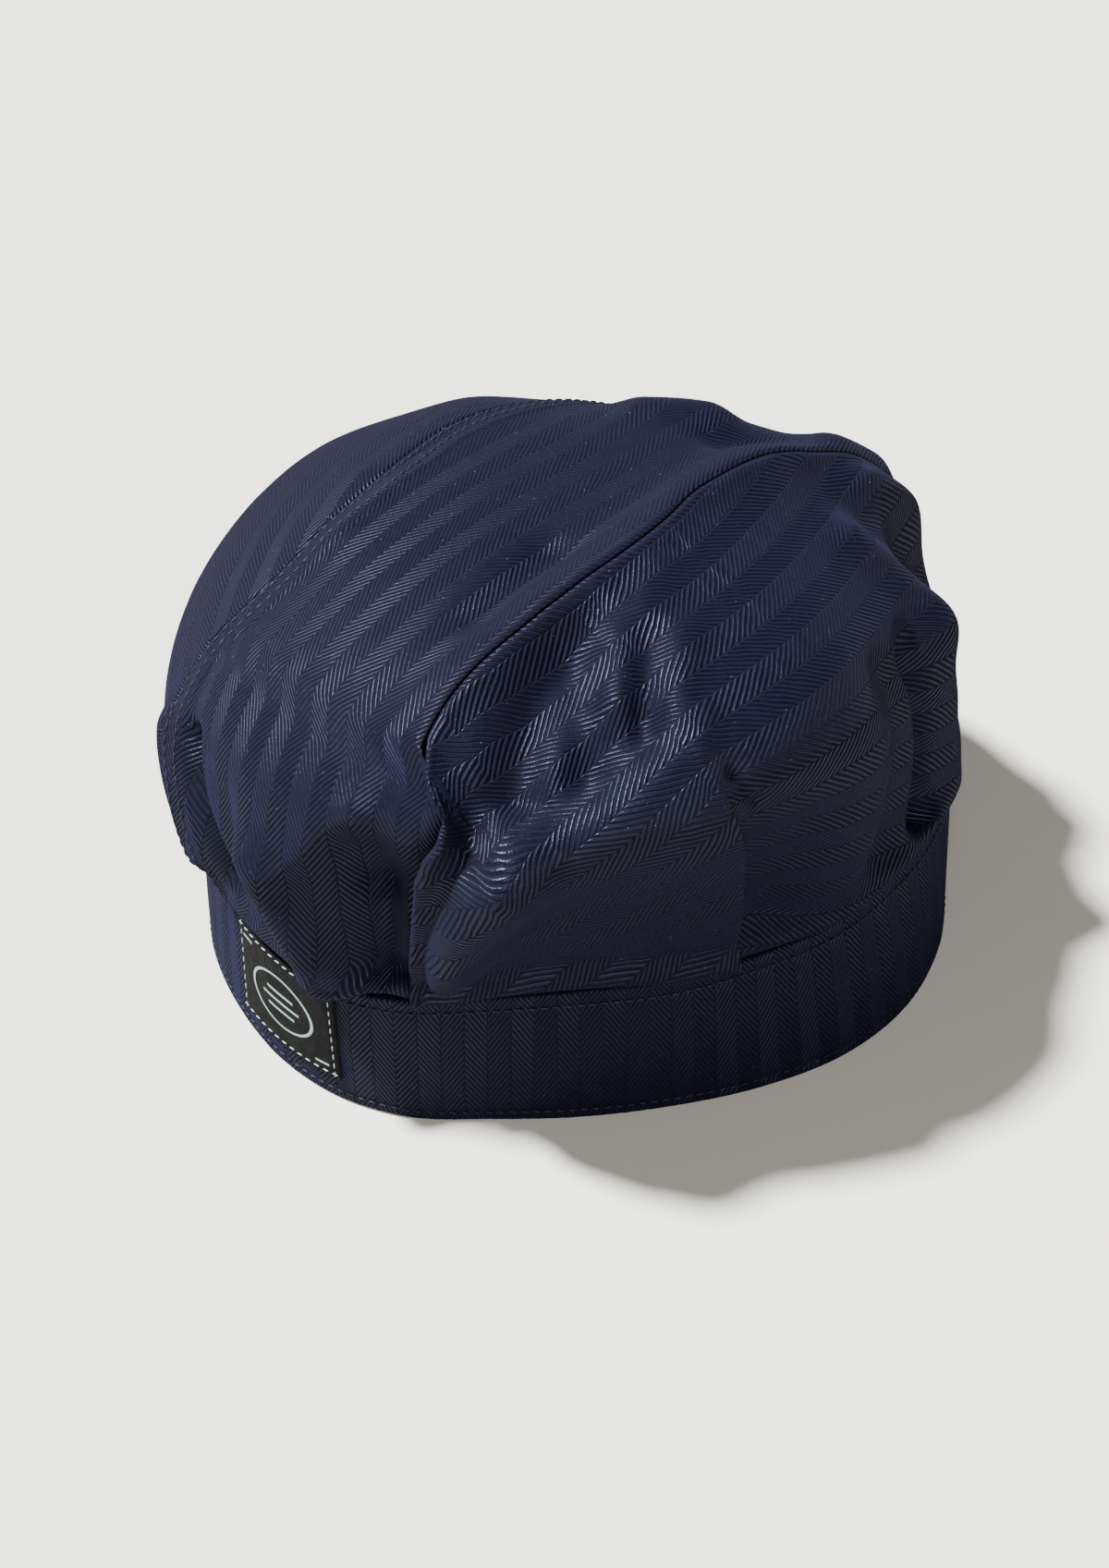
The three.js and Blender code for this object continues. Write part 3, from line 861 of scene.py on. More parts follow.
@dataclass(frozen=True)
class ThreadFinish:
    """Sewing thread."""

    name: str
    colour: tuple = (0.0035, 0.0042, 0.014, 1.0)
    rough: float = 0.6

    def material(self, yarn: bpy.types.NodeTree) -> bpy.types.Material:
        """Material with the yarn's uneven tone.

        Args:
            yarn: uneven yarn group.

        Returns:
            The new material.
        """
        made, g, shader = new_material(self.name)
        uneven = g.group(yarn, g.node("ShaderNodeTexCoord").outputs["Object"])
        shade = g.remap(uneven.outputs["Fluff"], 0.3, 0.7, 0.7, 1.3)
        g.feed(shader.inputs["Base Color"], g.mix(1.0, self.colour, shade, blend="MULTIPLY"))
        rough = g.remap(uneven.outputs["Tone"], 0.2, 0.8, self.rough, self.rough + 0.2)
        g.feed(shader.inputs["Roughness"], rough)
        return made


@dataclass(frozen=True)
class LabelFinish:
    """Black woven ribbon with a plain ring and short bars in pale thread."""

    name: str = "label_ribbon"
    ground: tuple = (0.0020, 0.0022, 0.0028, 1.0)
    # Lighter colour on the raised tops of the ribbon's rib pattern.
    rib_top_tone: tuple = (0.007, 0.008, 0.010, 1.0)
    pale: tuple = (0.42, 0.62, 0.56, 1.0)
    shine: float = 0.12
    pick: float = 0.32
    warp: float = 0.42
    ring: float = 7.4
    ring_flat: float = 1.45
    ring_line: tuple = (0.22, 0.36)
    bars: tuple = ((2.6, 4.6), (0.0, 6.4), (-2.6, 4.6))
    bar_line: tuple = (0.30, 0.42)
    corners: tuple = ((-12.8, 10.2), (12.8, -10.2))
    corner_line: tuple = (0.25, 0.40)
    relief: float = 0.00015

    def bar(
        self, g: Graph, x: bpy.types.NodeSocket, y: bpy.types.NodeSocket, half: tuple, line: tuple
    ) -> bpy.types.NodeSocket:
        """Mask of one upright-edged bar round the origin.

        Args:
            g: the material's graph.
            x: place across the label, from the bar's middle.
            y: place up the label, from the bar's middle.
            half: half lengths at which the bar starts and stops fading.
            line: half heights at which it starts and stops fading.

        Returns:
            Mask from 0 to 1.
        """
        tall = g.remap(g.math("ABSOLUTE", y), line[0], line[1], 1.0, 0.0)
        wide = g.remap(g.math("ABSOLUTE", x), half[0], half[1], 1.0, 0.0)
        return g.math("MULTIPLY", tall, wide)

    def material(self, yarn: bpy.types.NodeTree) -> bpy.types.Material:
        """Material that reads the label's own map in mm from its middle.

        Args:
            yarn: uneven yarn group.

        Returns:
            The new material.
        """
        made, g, shader = new_material(self.name)
        parts = g.node("ShaderNodeSeparateXYZ")
        g.feed(parts.inputs[0], g.node("ShaderNodeUVMap", uv_map="cloth").outputs[0])
        x, y = parts.outputs[0], parts.outputs[1]
        across = g.math("POWER", g.math("DIVIDE", x, self.ring_flat), 2.0)
        ring = g.math("SQRT", g.math("ADD", across, g.math("POWER", y, 2.0)))
        off_ring = g.math("ABSOLUTE", g.math("SUBTRACT", ring, self.ring))
        mask = g.remap(off_ring, self.ring_line[0], self.ring_line[1], 1.0, 0.0)
        for up, half in self.bars:
            bar = self.bar(g, x, g.math("SUBTRACT", y, up), (half, half + 0.2), self.bar_line)
            mask = g.math("MAXIMUM", mask, bar)
        for side, up in self.corners:
            from_x, from_y = g.math("SUBTRACT", x, side), g.math("SUBTRACT", y, up)
            mask = g.math("MAXIMUM", mask, self.bar(g, from_x, from_y, (1.9, 2.1), self.corner_line))
        pick = g.math("SINE", g.math("MULTIPLY", y, 2 * math.pi / self.pick))
        warp = g.math("SINE", g.math("MULTIPLY", x, 2 * math.pi / self.warp))
        rib = g.math("ADD", g.math("MULTIPLY", g.math("MULTIPLY", pick, warp), 0.5), 0.5)
        uneven = g.group(yarn, g.node("ShaderNodeTexCoord").outputs["Object"])
        shown = g.math("MULTIPLY", mask, g.remap(rib, 0.0, 0.6, 0.55, 1.0))
        # The ground turns lighter on the rib pattern's raised tops.
        ground = g.mix(g.remap(rib, 0.4, 1.0, 0.0, 0.6), self.ground, self.rib_top_tone)
        shader.inputs["Specular IOR Level"].default_value = self.shine
        g.feed(shader.inputs["Base Color"], g.mix(shown, ground, self.pale))
        g.feed(shader.inputs["Roughness"], g.remap(uneven.outputs["Tone"], 0.2, 0.8, 0.5, 0.7))
        height = g.math("ADD", rib, g.math("MULTIPLY", mask, 0.8))
        g.feed(shader.inputs["Normal"], g.bump(height, 0.8, self.relief))
        return made


def stitch_tree() -> bpy.types.NodeTree:
    """Stitches along lines: one grain of thread at each pitch, turned along its line.

    Returns:
        Geometry node tree with inputs Lines, Pitch, Length, Thread and Material.
    """
    sizes = {"Pitch": 0.0028, "Length": 0.0022, "Thread": 0.00055}
    tree = new_group(
        "stitch_row", "GeometryNodeTree", {"Lines": "Geometry", **sizes, "Material": "Material"},
        {"Stitches": "Geometry"},
    )
    g = Graph(tree)
    given = g.node("NodeGroupInput")
    out = g.node("NodeGroupOutput")
    curve = g.node("GeometryNodeMeshToCurve")
    g.feed(curve.inputs["Mesh"], given.outputs["Lines"])
    steps = g.node("GeometryNodeResampleCurve", mode="LENGTH")
    g.feed(steps.inputs["Curve"], curve.outputs[0])
    g.feed(steps.inputs["Length"], given.outputs["Pitch"])
    up = g.node("GeometryNodeInputNamedAttribute", data_type="FLOAT_VECTOR")
    up.inputs["Name"].default_value = "up"
    tangent = g.node("GeometryNodeInputTangent")
    first = g.node("FunctionNodeAlignRotationToVector", axis="Z")
    g.feed(first.inputs["Vector"], up.outputs[0])
    second = g.node("FunctionNodeAlignRotationToVector", axis="X", pivot_axis="Z")
    g.feed(second.inputs["Rotation"], first.outputs[0])
    g.feed(second.inputs["Vector"], tangent.outputs[0])
    ball = g.node("GeometryNodeMeshUVSphere")
    ball.inputs["Segments"].default_value = 8
    ball.inputs["Rings"].default_value = 5
    ball.inputs["Radius"].default_value = 0.5
    size = g.node("ShaderNodeCombineXYZ")
    g.feed(size.inputs[0], given.outputs["Length"])
    g.feed(size.inputs[1], given.outputs["Thread"])
    g.feed(size.inputs[2], given.outputs["Thread"])
    grain = g.node("GeometryNodeTransform")
    g.feed(grain.inputs["Geometry"], ball.outputs["Mesh"])
    g.feed(grain.inputs["Scale"], size.outputs[0])
    place = g.node("GeometryNodeInstanceOnPoints")
    g.feed(place.inputs["Points"], steps.outputs[0])
    g.feed(place.inputs["Instance"], grain.outputs[0])
    g.feed(place.inputs["Rotation"], second.outputs[0])
    real = g.node("GeometryNodeRealizeInstances")
    g.feed(real.inputs[0], place.outputs[0])
    dressed = g.node("GeometryNodeSetMaterial")
    g.feed(dressed.inputs["Geometry"], real.outputs[0])
    g.feed(dressed.inputs["Material"], given.outputs["Material"])
    g.feed(out.inputs[0], dressed.outputs[0])
    return tree


class StitchLine(NamedTuple):
    """Points of a row of stitches and the outward directions there, in mm."""

    points: np.ndarray
    up: np.ndarray


@dataclass
class Stitching:
    """Rows of stitches, each set made into one plain mesh."""

    form: CapForm
    tree: bpy.types.NodeTree

    def sew(
        self, name: str, lines: list, stitch: Stitch, material: bpy.types.Material
    ) -> bpy.types.Object:
        """Makes all the lines' stitches into one object that rides on the cap.

        Args:
            name: object's name.
            lines: rows of stitches.
            stitch: the kind of stitch.
            material: the thread's material.

        Returns:
            The new object.
        """
        verts, edges, ups = [], [], []
        for line in lines:
            first = len(verts)
            verts.extend(self.form.to_frame(line.points).tolist())
            ups.extend(line.up.tolist())
            edges.extend((first + i, first + i + 1) for i in range(len(line.points) - 1))
        path = bpy.data.meshes.new(name + "_path")
        path.from_pydata(verts, edges, [])
        data = path.attributes.new("up", "FLOAT_VECTOR", "POINT")
        data.data.foreach_set("vector", np.array(ups, np.float32).ravel())
        guide = new_object(name + "_guide", path)
        modifier = guide.modifiers.new("stitches", "NODES")
        modifier.node_group = self.tree
        ids = {s.name: s.identifier for s in self.tree.interface.items_tree if s.in_out == "INPUT"}
        modifier[ids["Pitch"]] = stitch.pitch * MM
        modifier[ids["Length"]] = stitch.length * MM
        modifier[ids["Thread"]] = stitch.thread * MM
        modifier[ids["Material"]] = material
        graph = bpy.context.evaluated_depsgraph_get()
        mesh = bpy.data.meshes.new_from_object(guide.evaluated_get(graph))
        mesh.name = name
        mesh.polygons.foreach_set("use_smooth", np.ones(len(mesh.polygons), bool))
        if not mesh.materials:
            mesh.materials.append(material)
        obj = new_object(name, mesh)
        bpy.data.objects.remove(guide)
        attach(obj, BODY)
        return obj


def arc_length(points: np.ndarray, axis: int) -> np.ndarray:
    """Running length along one axis of a grid of points.

    Args:
        points: grid of shape (n, m, 3), in mm.
        axis: 0 or 1.

    Returns:
        Length from the grid's start at each point, in mm.
    """
    step = np.linalg.norm(np.diff(points, axis=axis), axis=-1)
    pad = [(0, 0)] * step.ndim
    pad[axis] = (1, 0)
    return np.cumsum(np.pad(step, pad), axis=axis)


@dataclass
class Crown:
    """The crown's three panels.

    Heights and widths on the cloth are in mm. Pairs are the places between which something fades
    in or out: in mm for slack_low and slack_high, in degrees for slack_from and slack_to, in
    shares of the pleat's top for pleat_fade and draw_fade, and in disk units for all the others.
    """

    form: CapForm
    maker: MeshMaker
    centre_across: int = 118
    centre_along: int = 380
    side_along: int = 280
    side_across: int = 158
    tuck_rows: int = 6
    row_crowd: float = 1.4
    edge_crowd: float = 0.4
    pleat_crowd: float = 0.72
    pleat_crowd_wide: float = 0.10
    probe: float = 0.004
    fold_free: tuple = (0.0, 0.07)
    fine_free: tuple = (0.01, 0.10)
    seam_free: tuple = (0.0, 0.04)
    pleat_free: tuple = (0.0, 0.05)
    ripples: tuple = ((19.0, 3, 0.16), (8.0, 5, 0.06))
    ridge: float = 5.4
    ridge_wide: float = 9.0
    ridge_flat: float = 0.8
    ridge_fall: float = 6.5
    ridge_low: tuple = (-0.60, -0.42)
    ridge_high: tuple = (0.35, 0.75)
    crease: float = 2.6
    crease_at: float = 0.9
    crease_wide: float = 1.5
    roll_over: float = 1.3
    roll_over_at: float = 5.0
    roll_over_wide: float = 3.0
    slack: float = 6.0
    slack_low: tuple = (1.0, 13.0)
    slack_high: tuple = (32.0, 72.0)
    slack_from: tuple = (8, 26)
    slack_to: tuple = (70, 98)
    under_lap: float = 0.060
    under_low: tuple = (0.39, 0.45)
    under_high: tuple = (0.90, 0.97)
    under_deep: float = 8.0
    pocket: float = 2.2
    pocket_wide: float = 6.0
    roll: float = 1.6
    roll_at: float = 2.2
    roll_wide: float = 2.6
    roll_lip: float = 0.9
    roll_lip_wide: float = 0.5
    roll_from: tuple = (0.40, 0.46)
    lap_foot: tuple = (0.06, 0.12)
    lap_end: tuple = (0.06, 0.20)
    lap_fade: tuple = (-0.1, 0.14)
    groove: float = 0.42
    groove_wide: float = 0.6
    fell: float = 0.35
    fell_wide: float = 9.0
    fell_rows: tuple = (2.0, 5.4)
    fell_ends: int = 3
    stitch_off: float = 0.08
    seam_gap: float = 0.0008
    pleat_scale: float = 1.4
    pleat_base: float = 0.55
    pleat_round: float = 1.1
    pleat_fade: tuple = (0.55, 1.0)
    dip: float = 1.7
    dip_reach: float = 5.5
    dip_free: tuple = (0.02, 0.14)
    draw: float = 1.3
    draw_reach: float = 1.6
    draw_fade: tuple = (0.5, 0.9)
    dart: float = 50.0
    dart_tip: float = 0.42
    dart_probe: tuple = (12, 10)
    dart_slit: float = 0.1
    lean: float = 10.0

    def surface(self, x: np.ndarray, y: np.ndarray, extra: np.ndarray | float = 0.0) -> np.ndarray:
        """Folded cloth at a grid of disk places.

        Args:
            x: disk x of shape (n, m).
            y: disk y.
            extra: further stand-off in mm.

        Returns:
            Points of shape (n, m, 3), in mm.
        """
        form = self.form
        base = form.smooth(x, y)
        e = self.probe
        dx = form.smooth(x + e, y) - form.smooth(x - e, y)
        dy = form.smooth(x, y + e) - form.smooth(x, y - e)
        out = unit(np.cross(dx, dy))
        rise = 1 - np.hypot(x, y)
        hold = form.seam_hold(x, y)
        high = form.fold_height(base, FOLDS) * smoothstep(rise, *self.fold_free) * hold
        fine = form.fold_height(base, CREASES) * hold
        ripple = sum(value_noise(base, size, seed) * tall for size, seed, tall in self.ripples)
        high = high + (fine + ripple) * smoothstep(rise, *self.fine_free)
        return base + out * (high + extra)[..., None]

    def rows_to_band(self, count: int) -> tuple[np.ndarray, np.ndarray]:
        """Places from the top to the band, with further ones that tuck in behind the band.

        Args:
            count: how many places come before the tucked ones.

        Returns:
            The places from 0 to 1, and each one's stretch past the band's line.
        """
        share = np.linspace(0, 1, count)
        place = 1 - (1 - share) ** self.row_crowd
        stretch = np.ones(count)
        tail = 1 + self.form.tuck / self.form.half * np.linspace(0, 1, self.tuck_rows + 1)[1:]
        return np.concatenate([place, np.ones(self.tuck_rows)]), np.concatenate([stretch, tail])

    def centre(self) -> tuple[bpy.types.Object, list]:
        """Centre panel from the back of the band over the top to its front.

        Returns:
            The object and its rows of stitches.
        """
        form = self.form
        place, stretch = self.rows_to_band(self.centre_along // 2 - self.tuck_rows)
        along = np.concatenate([-place[::-1], place[1:]])
        stretch = np.concatenate([stretch[::-1], stretch[1:]])
        share = np.linspace(0, 1, self.centre_across)
        share = share * (1 - self.edge_crowd) + self.edge_crowd * (0.5 - 0.5 * np.cos(np.pi * share))
        left = form.seam_x("left", along) + self.seam_gap
        under = smoothstep(-along, *self.under_low) * (1 - smoothstep(-along, *self.under_high))
        right = form.seam_x("right", along) - self.seam_gap + self.under_lap * under
        x = left[None, :] + (right - left)[None, :] * share[:, None]
        y = along[None, :] * np.sqrt(1 - x * x)
        x, y = x * stretch, y * stretch
        flat = form.smooth(x, y)
        across = arc_length(flat, 0)
        from_left, from_right = across, across[-1:, :] - across
        near = np.minimum(from_left, from_right + self.under_deep * under[None, :])
        rise = 1 - np.hypot(x, y)
        extra = -self.groove * hump(near, 0.0, self.groove_wide)
        extra += self.fell * (1 - smoothstep(near, self.fell_wide - 1.0, self.fell_wide))
        extra += self.seam_ridge(along)[None, :] * hump(from_right, 0.0, self.ridge_wide)
        extra *= smoothstep(rise, *self.seam_free)
        sunk = self.pocket * under[None, :] * hump(from_right, 0.0, self.pocket_wide)
        extra -= sunk * smoothstep(rise, *self.pleat_free)
        run = arc_length(flat, 1)
        first, last = self.tuck_rows, run.shape[1] - 1 - self.tuck_rows
        edge = np.minimum(run - run[:, first : first + 1], run[:, last : last + 1] - run)
        extra += self.foot(np.maximum(0, edge), x, y)
        points = self.surface(x, y, extra)
        middle = self.centre_across // 2
        u = across - across[middle : middle + 1, :]
        v = np.broadcast_to(arc_length(flat[middle : middle + 1], 1), u.shape)
        obj = self.maker.shell("center_panel_cloth", points, np.stack([u, v], -1), form.cloth)
        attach(obj, BODY)
        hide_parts("crown_center_panel")
        return obj, self.rows_at(points, across, self.fell_rows)

    def foot(self, edge: np.ndarray, x: np.ndarray, y: np.ndarray) -> np.ndarray:
        """Stand-off in mm near the band: a crease, and at the back right the cloth hanging straighter.

        Args:
            edge: distance from the band along the cloth, in mm.
            x: disk x.
            y: disk y.

        Returns:
            Stand-off at each place.
        """
        angle = np.degrees(np.arctan2(x, -y))
        sag = smoothstep(angle, *self.slack_from) * (1 - smoothstep(angle, *self.slack_to))
        slack = smoothstep(edge, *self.slack_low) * (1 - smoothstep(edge, *self.slack_high))
        roll = hump(edge, self.roll_over_at, self.roll_over_wide)
        crease = hump(edge, self.crease_at, self.crease_wide)
        return self.roll_over * roll - self.slack * sag * slack - self.crease * crease

    def seam_ridge(self, along: np.ndarray) -> np.ndarray:
        """Height in mm by which the right seam's folded edges lift the cloth."""
        return self.ridge * smoothstep(along, *self.ridge_low) * (1 - smoothstep(along, *self.ridge_high))

    def rows_at(self, points: np.ndarray, across: np.ndarray, rows: tuple) -> list:
        """Rows of stitches at set distances from the panel's left edge.

        Args:
            points: outer grid.
            across: running length across the panel.
            rows: the distances, in mm.

        Returns:
            Stitch lines.
        """
        normals = grid_normals(points)
        span = points.shape[1]
        ends = self.tuck_rows + self.fell_ends
        keep = slice(ends, span - ends)
        lines = []
        for goal in rows:
            spot = np.array([np.searchsorted(across[:, j], goal) for j in range(span)])
            spot = np.clip(spot, 1, len(points) - 1)
            j = np.arange(span)
            low, high = across[spot - 1, j], across[spot, j]
            t = ((goal - low) / np.maximum(high - low, 1e-6))[:, None]
            row = points[spot - 1, j] * (1 - t) + points[spot, j] * t
            up = normals[spot - 1, j] * (1 - t) + normals[spot, j] * t
            lines.append(StitchLine((row + up * self.stitch_off)[keep], up[keep]))
        return lines

    def side_columns(self, side: Side) -> np.ndarray:
        """Places along a side panel; the right one's crowd at the second pleat.

        Args:
            side: which panel.

        Returns:
            Places from the back end to the front end.
        """
        form = self.form
        t = np.linspace(-form.end_t, form.end_t, self.side_along)
        if side is Side.LEFT:
            return t
        pull = hump(t, form.pleat_along, self.pleat_crowd_wide)
        return t - (t - form.pleat_along) * self.pleat_crowd * pull

    def side(self, side: Side) -> bpy.types.Object:
        """Side panel, the crescent between a seam and the band.

        Args:
            side: which panel.

        Returns:
            The new object.
        """
        form = self.form
        sign = side.value
        t = self.side_columns(side)
        w, stretch = self.rows_to_band(self.side_across - self.tuck_rows)
        along = np.sign(t) * np.abs(t) ** form.seam_power
        seam = form.seam_x(side.column, along)
        seam_y = along * np.sqrt(1 - seam * seam)
        back = math.degrees(math.asin(abs(float(form.seam_x(side.column, np.array(-1.0))))))
        front = 180 - math.degrees(math.asin(abs(float(form.seam_x(side.column, np.array(1.0))))))
        angle = np.radians(back + (front - back) * (t + 1) / 2)
        low = smoothstep(1 - np.hypot(seam, seam_y), *self.lap_foot)
        lapped = low * smoothstep(form.lap_top - along, *self.lap_end) * (side is Side.RIGHT)
        edge = seam + sign * self.seam_gap
        if side is Side.RIGHT:
            edge = edge + np.interp(along, *zip(*LAP_EDGE))
        x = edge[:, None] + (sign * np.sin(angle) - edge)[:, None] * w[None, :]
        y = seam_y[:, None] + (-np.cos(angle) - seam_y)[:, None] * w[None, :]
        x, y = x * stretch, y * stretch
        rise = 1 - np.hypot(x, y)
        free = smoothstep(rise, *self.pleat_free)
        flat = form.smooth(x, y)
        near = arc_length(flat, 1)
        extra = -self.groove * hump(near, 0.0, self.groove_wide) * (1 - lapped[:, None])
        if side is Side.RIGHT:
            fall = np.exp(-np.maximum(0, near - self.ridge_flat) / self.ridge_fall)
            extra = extra + self.seam_ridge(along)[:, None] * fall
        extra = extra * smoothstep(rise, *self.seam_free)
        if side is Side.RIGHT:
            lip = self.roll_lip * np.exp(-near / self.roll_lip_wide)
            rolled = self.roll * (hump(near, self.roll_at, self.roll_wide) - lip)
            low_end = smoothstep(-along, *self.roll_from)[:, None]
            extra = extra + (self.pleat(t, rise) + self.lap(x, y) + rolled * low_end) * free
        last = near.shape[1] - 1 - self.tuck_rows
        extra = extra + self.foot(np.maximum(0, near[:, last : last + 1] - near), x, y)
        points = self.surface(x, y, extra)
        if side is Side.RIGHT:
            points = self.tuck_pleat(points, t, rise)
        uv = self.cut_map(flat, sign)
        if side is Side.RIGHT:
            uv = self.open_dart(uv, t, w)
            points, uv = points[::-1], uv[::-1]
        obj = self.maker.shell(f"side_panel_{side.column}_cloth", points, uv, form.cloth)
        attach(obj, BODY)
        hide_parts(f"crown_side_panel_{side.column}")
        return obj

    def open_dart(self, uv: np.ndarray, t: np.ndarray, w: np.ndarray) -> np.ndarray:
        """Turns the weave round the second pleat's top by the cloth that the pleat takes up.

        Args:
            uv: flat cloth coordinates of shape (n, m, 2).
            t: places along the panel.
            w: places from the seam to the band.

        Returns:
            Coordinates whose weave jumps at the pleat and is smooth elsewhere.
        """
        i = int(np.argmin(np.abs(t - self.form.pleat_along)))
        j = int(np.argmin(np.abs(w - self.dart_tip)))
        tip = uv[i, j]
        down = uv[i, -self.tuck_rows - 1] - tip
        d = uv - tip
        start = math.atan2(down[1], down[0])
        angle = np.arctan2(d[..., 1], d[..., 0]) - start
        behind = (t < self.form.pleat_along)[:, None]
        turned = np.mod(angle, 2 * np.pi)
        back, up = self.dart_probe
        sample = float(np.mod(np.arctan2(*(uv[i - back, -up] - tip)[::-1]) - start, 2 * np.pi))
        if sample > np.pi:
            turned = 2 * np.pi - turned
        turned = np.where(behind & (turned > (2 - self.dart_slit) * np.pi), 0.0, turned)
        turned = np.where(~behind & (turned < self.dart_slit * np.pi), 2 * np.pi, turned)
        share = turned / (2 * np.pi)
        spin = np.radians(self.dart * (0.5 - share) + self.lean) * (-1.0 if sample > np.pi else 1.0)
        cos, sin = np.cos(spin), np.sin(spin)
        return np.stack([d[..., 0] * cos - d[..., 1] * sin, d[..., 0] * sin + d[..., 1] * cos], -1) + tip

    def pleat(self, t: np.ndarray, rise: np.ndarray) -> np.ndarray:
        """Stand-off of the cloth on both sides of the second pleat's fold.

        Args:
            t: places along the panel.
            rise: height share over the band.

        Returns:
            Stand-off in mm: raised behind the fold and sunk in front of it.
        """
        form = self.form
        away = (form.pleat_along - t) * form.half * self.pleat_scale
        low, high = self.pleat_fade
        fade = 1 - smoothstep(rise, form.pleat_top * low, form.pleat_top * high)
        raised = np.where(away > 0, np.exp(-np.maximum(0, away) / form.pleat_reach), 0.0)
        rounded = self.pleat_base + (1 - self.pleat_base) * smoothstep(away, 0.0, self.pleat_round)
        front = np.maximum(0, -away) / self.dip_reach
        dip = -self.dip * front * np.exp(1 - front)
        dip = dip[:, None] * smoothstep(rise, *self.dip_free)
        return ((form.pleat_high * raised * rounded)[:, None] + dip) * fade

    def tuck_pleat(self, points: np.ndarray, t: np.ndarray, rise: np.ndarray) -> np.ndarray:
        """Draws the first columns in front of the second pleat back under its fold.

        Args:
            points: outer grid.
            t: places along the panel.
            rise: height share over the band.

        Returns:
            The changed grid.
        """
        form = self.form
        ahead = (t - form.pleat_along) * form.half * self.pleat_scale
        low, high = self.draw_fade
        fade = 1 - smoothstep(rise, form.pleat_top * low, form.pleat_top * high)
        drawn = (ahead > 0) & (ahead < self.draw_reach)
        back = np.where(drawn, self.draw * (1 - ahead / self.draw_reach), 0.0)
        return points - unit(np.gradient(points, axis=0)) * (back[:, None] * fade)[..., None]

    def lap(self, x: np.ndarray, y: np.ndarray) -> np.ndarray:
        """Stand-off of the right panel's edge where its first pleat laps over the centre panel.

        Args:
            x: disk x.
            y: disk y.

        Returns:
            Stand-off in mm.
        """
        form = self.form
        along = np.maximum(-1, y / np.sqrt(1 - np.minimum(0.9, x * x)))
        fade = smoothstep(form.lap_top - along, *self.lap_fade)
        off = np.maximum(0, x - form.seam_x("right", np.clip(along, -1, 1))) / form.lap_reach
        return np.where(y > 0, 0.0, form.lap_high * fade * np.exp(-off * off))

    def cut_map(self, points: np.ndarray, sign: int) -> np.ndarray:
        """Flat cloth coordinates of a curved panel, its columns along the panel's length.

        The panel is laid flat on a coarse grid by a least-squares conformal map, which keeps
        the weave's angles, and the rest follows by blending.

        Args:
            points: smooth grid of shape (n, m, 3).
            sign: 1 for the right panel, -1 for the left.

        Returns:
            Array of shape (n, m, 2), in mm.
        """
        n, m = points.shape[:2]
        rows = np.unique(np.linspace(0, n - 1, 33).astype(int))
        cols = np.unique(np.linspace(0, m - 1, 19).astype(int))
        coarse = points[np.ix_(rows, cols)]
        flat = flatten(coarse)
        u = interpolate(flat[..., 0], rows, cols, n, m)
        v = interpolate(flat[..., 1], rows, cols, n, m)
        centre = np.array([u[n // 2, 0], v[n // 2, 0]])
        along = np.array([u[int(n * 0.6), 0] - u[int(n * 0.4), 0], v[int(n * 0.6), 0] - v[int(n * 0.4), 0]])
        along /= np.linalg.norm(along)
        side = np.array([along[1], -along[0]]) * sign
        d = np.stack([u, v], -1) - centre
        return np.stack([d @ side, d @ along], -1)


def flatten(points: np.ndarray) -> np.ndarray:
    """Least-squares conformal map of a grid to the plane, at the grid's own scale.

    Args:
        points: grid of shape (n, m, 3).

    Returns:
        Flat grid of shape (n, m, 2).
    """
    n, m = points.shape[:2]
    index = np.arange(n * m).reshape(n, m)
    a, b, c, d = index[:-1, :-1], index[1:, :-1], index[1:, 1:], index[:-1, 1:]
    tris = np.concatenate([np.stack(t, -1).reshape(-1, 3) for t in ((a, b, c), (a, c, d))])
    p = points.reshape(-1, 3)
    e1 = p[tris[:, 1]] - p[tris[:, 0]]
    e2 = p[tris[:, 2]] - p[tris[:, 0]]
    x1 = np.linalg.norm(e1, axis=1)
    ax = e1 / np.maximum(x1, 1e-9)[:, None]
    x2 = (e2 * ax).sum(1)
    y2 = np.linalg.norm(e2 - x2[:, None] * ax, axis=1)
    area = np.sqrt(np.maximum(x1 * y2, 1e-9))
    # Weights of the conformal condition at the corners, as complex numbers.
    w = np.stack([(x2 - x1) + 1j * y2, -x2 - 1j * y2, x1 + 0j], -1) / area[:, None]
    count = len(p)
    pins = (int(index[n // 5, 0]), int(index[n - 1 - n // 5, 0]))
    matrix = np.zeros((2 * len(tris), 2 * count))
    r = np.arange(len(tris))
    for k in range(3):
        matrix[r, tris[:, k]] += w[:, k].real
        matrix[r, count + tris[:, k]] -= w[:, k].imag
        matrix[len(tris) + r, tris[:, k]] += w[:, k].imag
        matrix[len(tris) + r, count + tris[:, k]] += w[:, k].real
    length = float(np.linalg.norm(p[pins[1]] - p[pins[0]]))
    fixed = {pins[0]: 0.0, pins[1]: length, count + pins[0]: 0.0, count + pins[1]: 0.0}
    known = np.array(sorted(fixed))
    free = np.setdiff1d(np.arange(2 * count), known)
    rest = matrix[:, known] @ np.array([fixed[k] for k in known])
    normal = matrix[:, free].T @ matrix[:, free]
    solved = np.linalg.solve(normal + 1e-9 * np.eye(len(free)), -matrix[:, free].T @ rest)
    flat = np.zeros(2 * count)
    flat[free] = solved
    for k, value in fixed.items():
        flat[k] = value
    rest = np.stack([np.zeros(len(tris), complex), x1 + 0j, x2 + 1j * y2], -1)
    placed = relax(tris, rest, flat[:count] + 1j * flat[count:])
    return np.stack([placed.real, placed.imag], -1).reshape(n, m, 2)


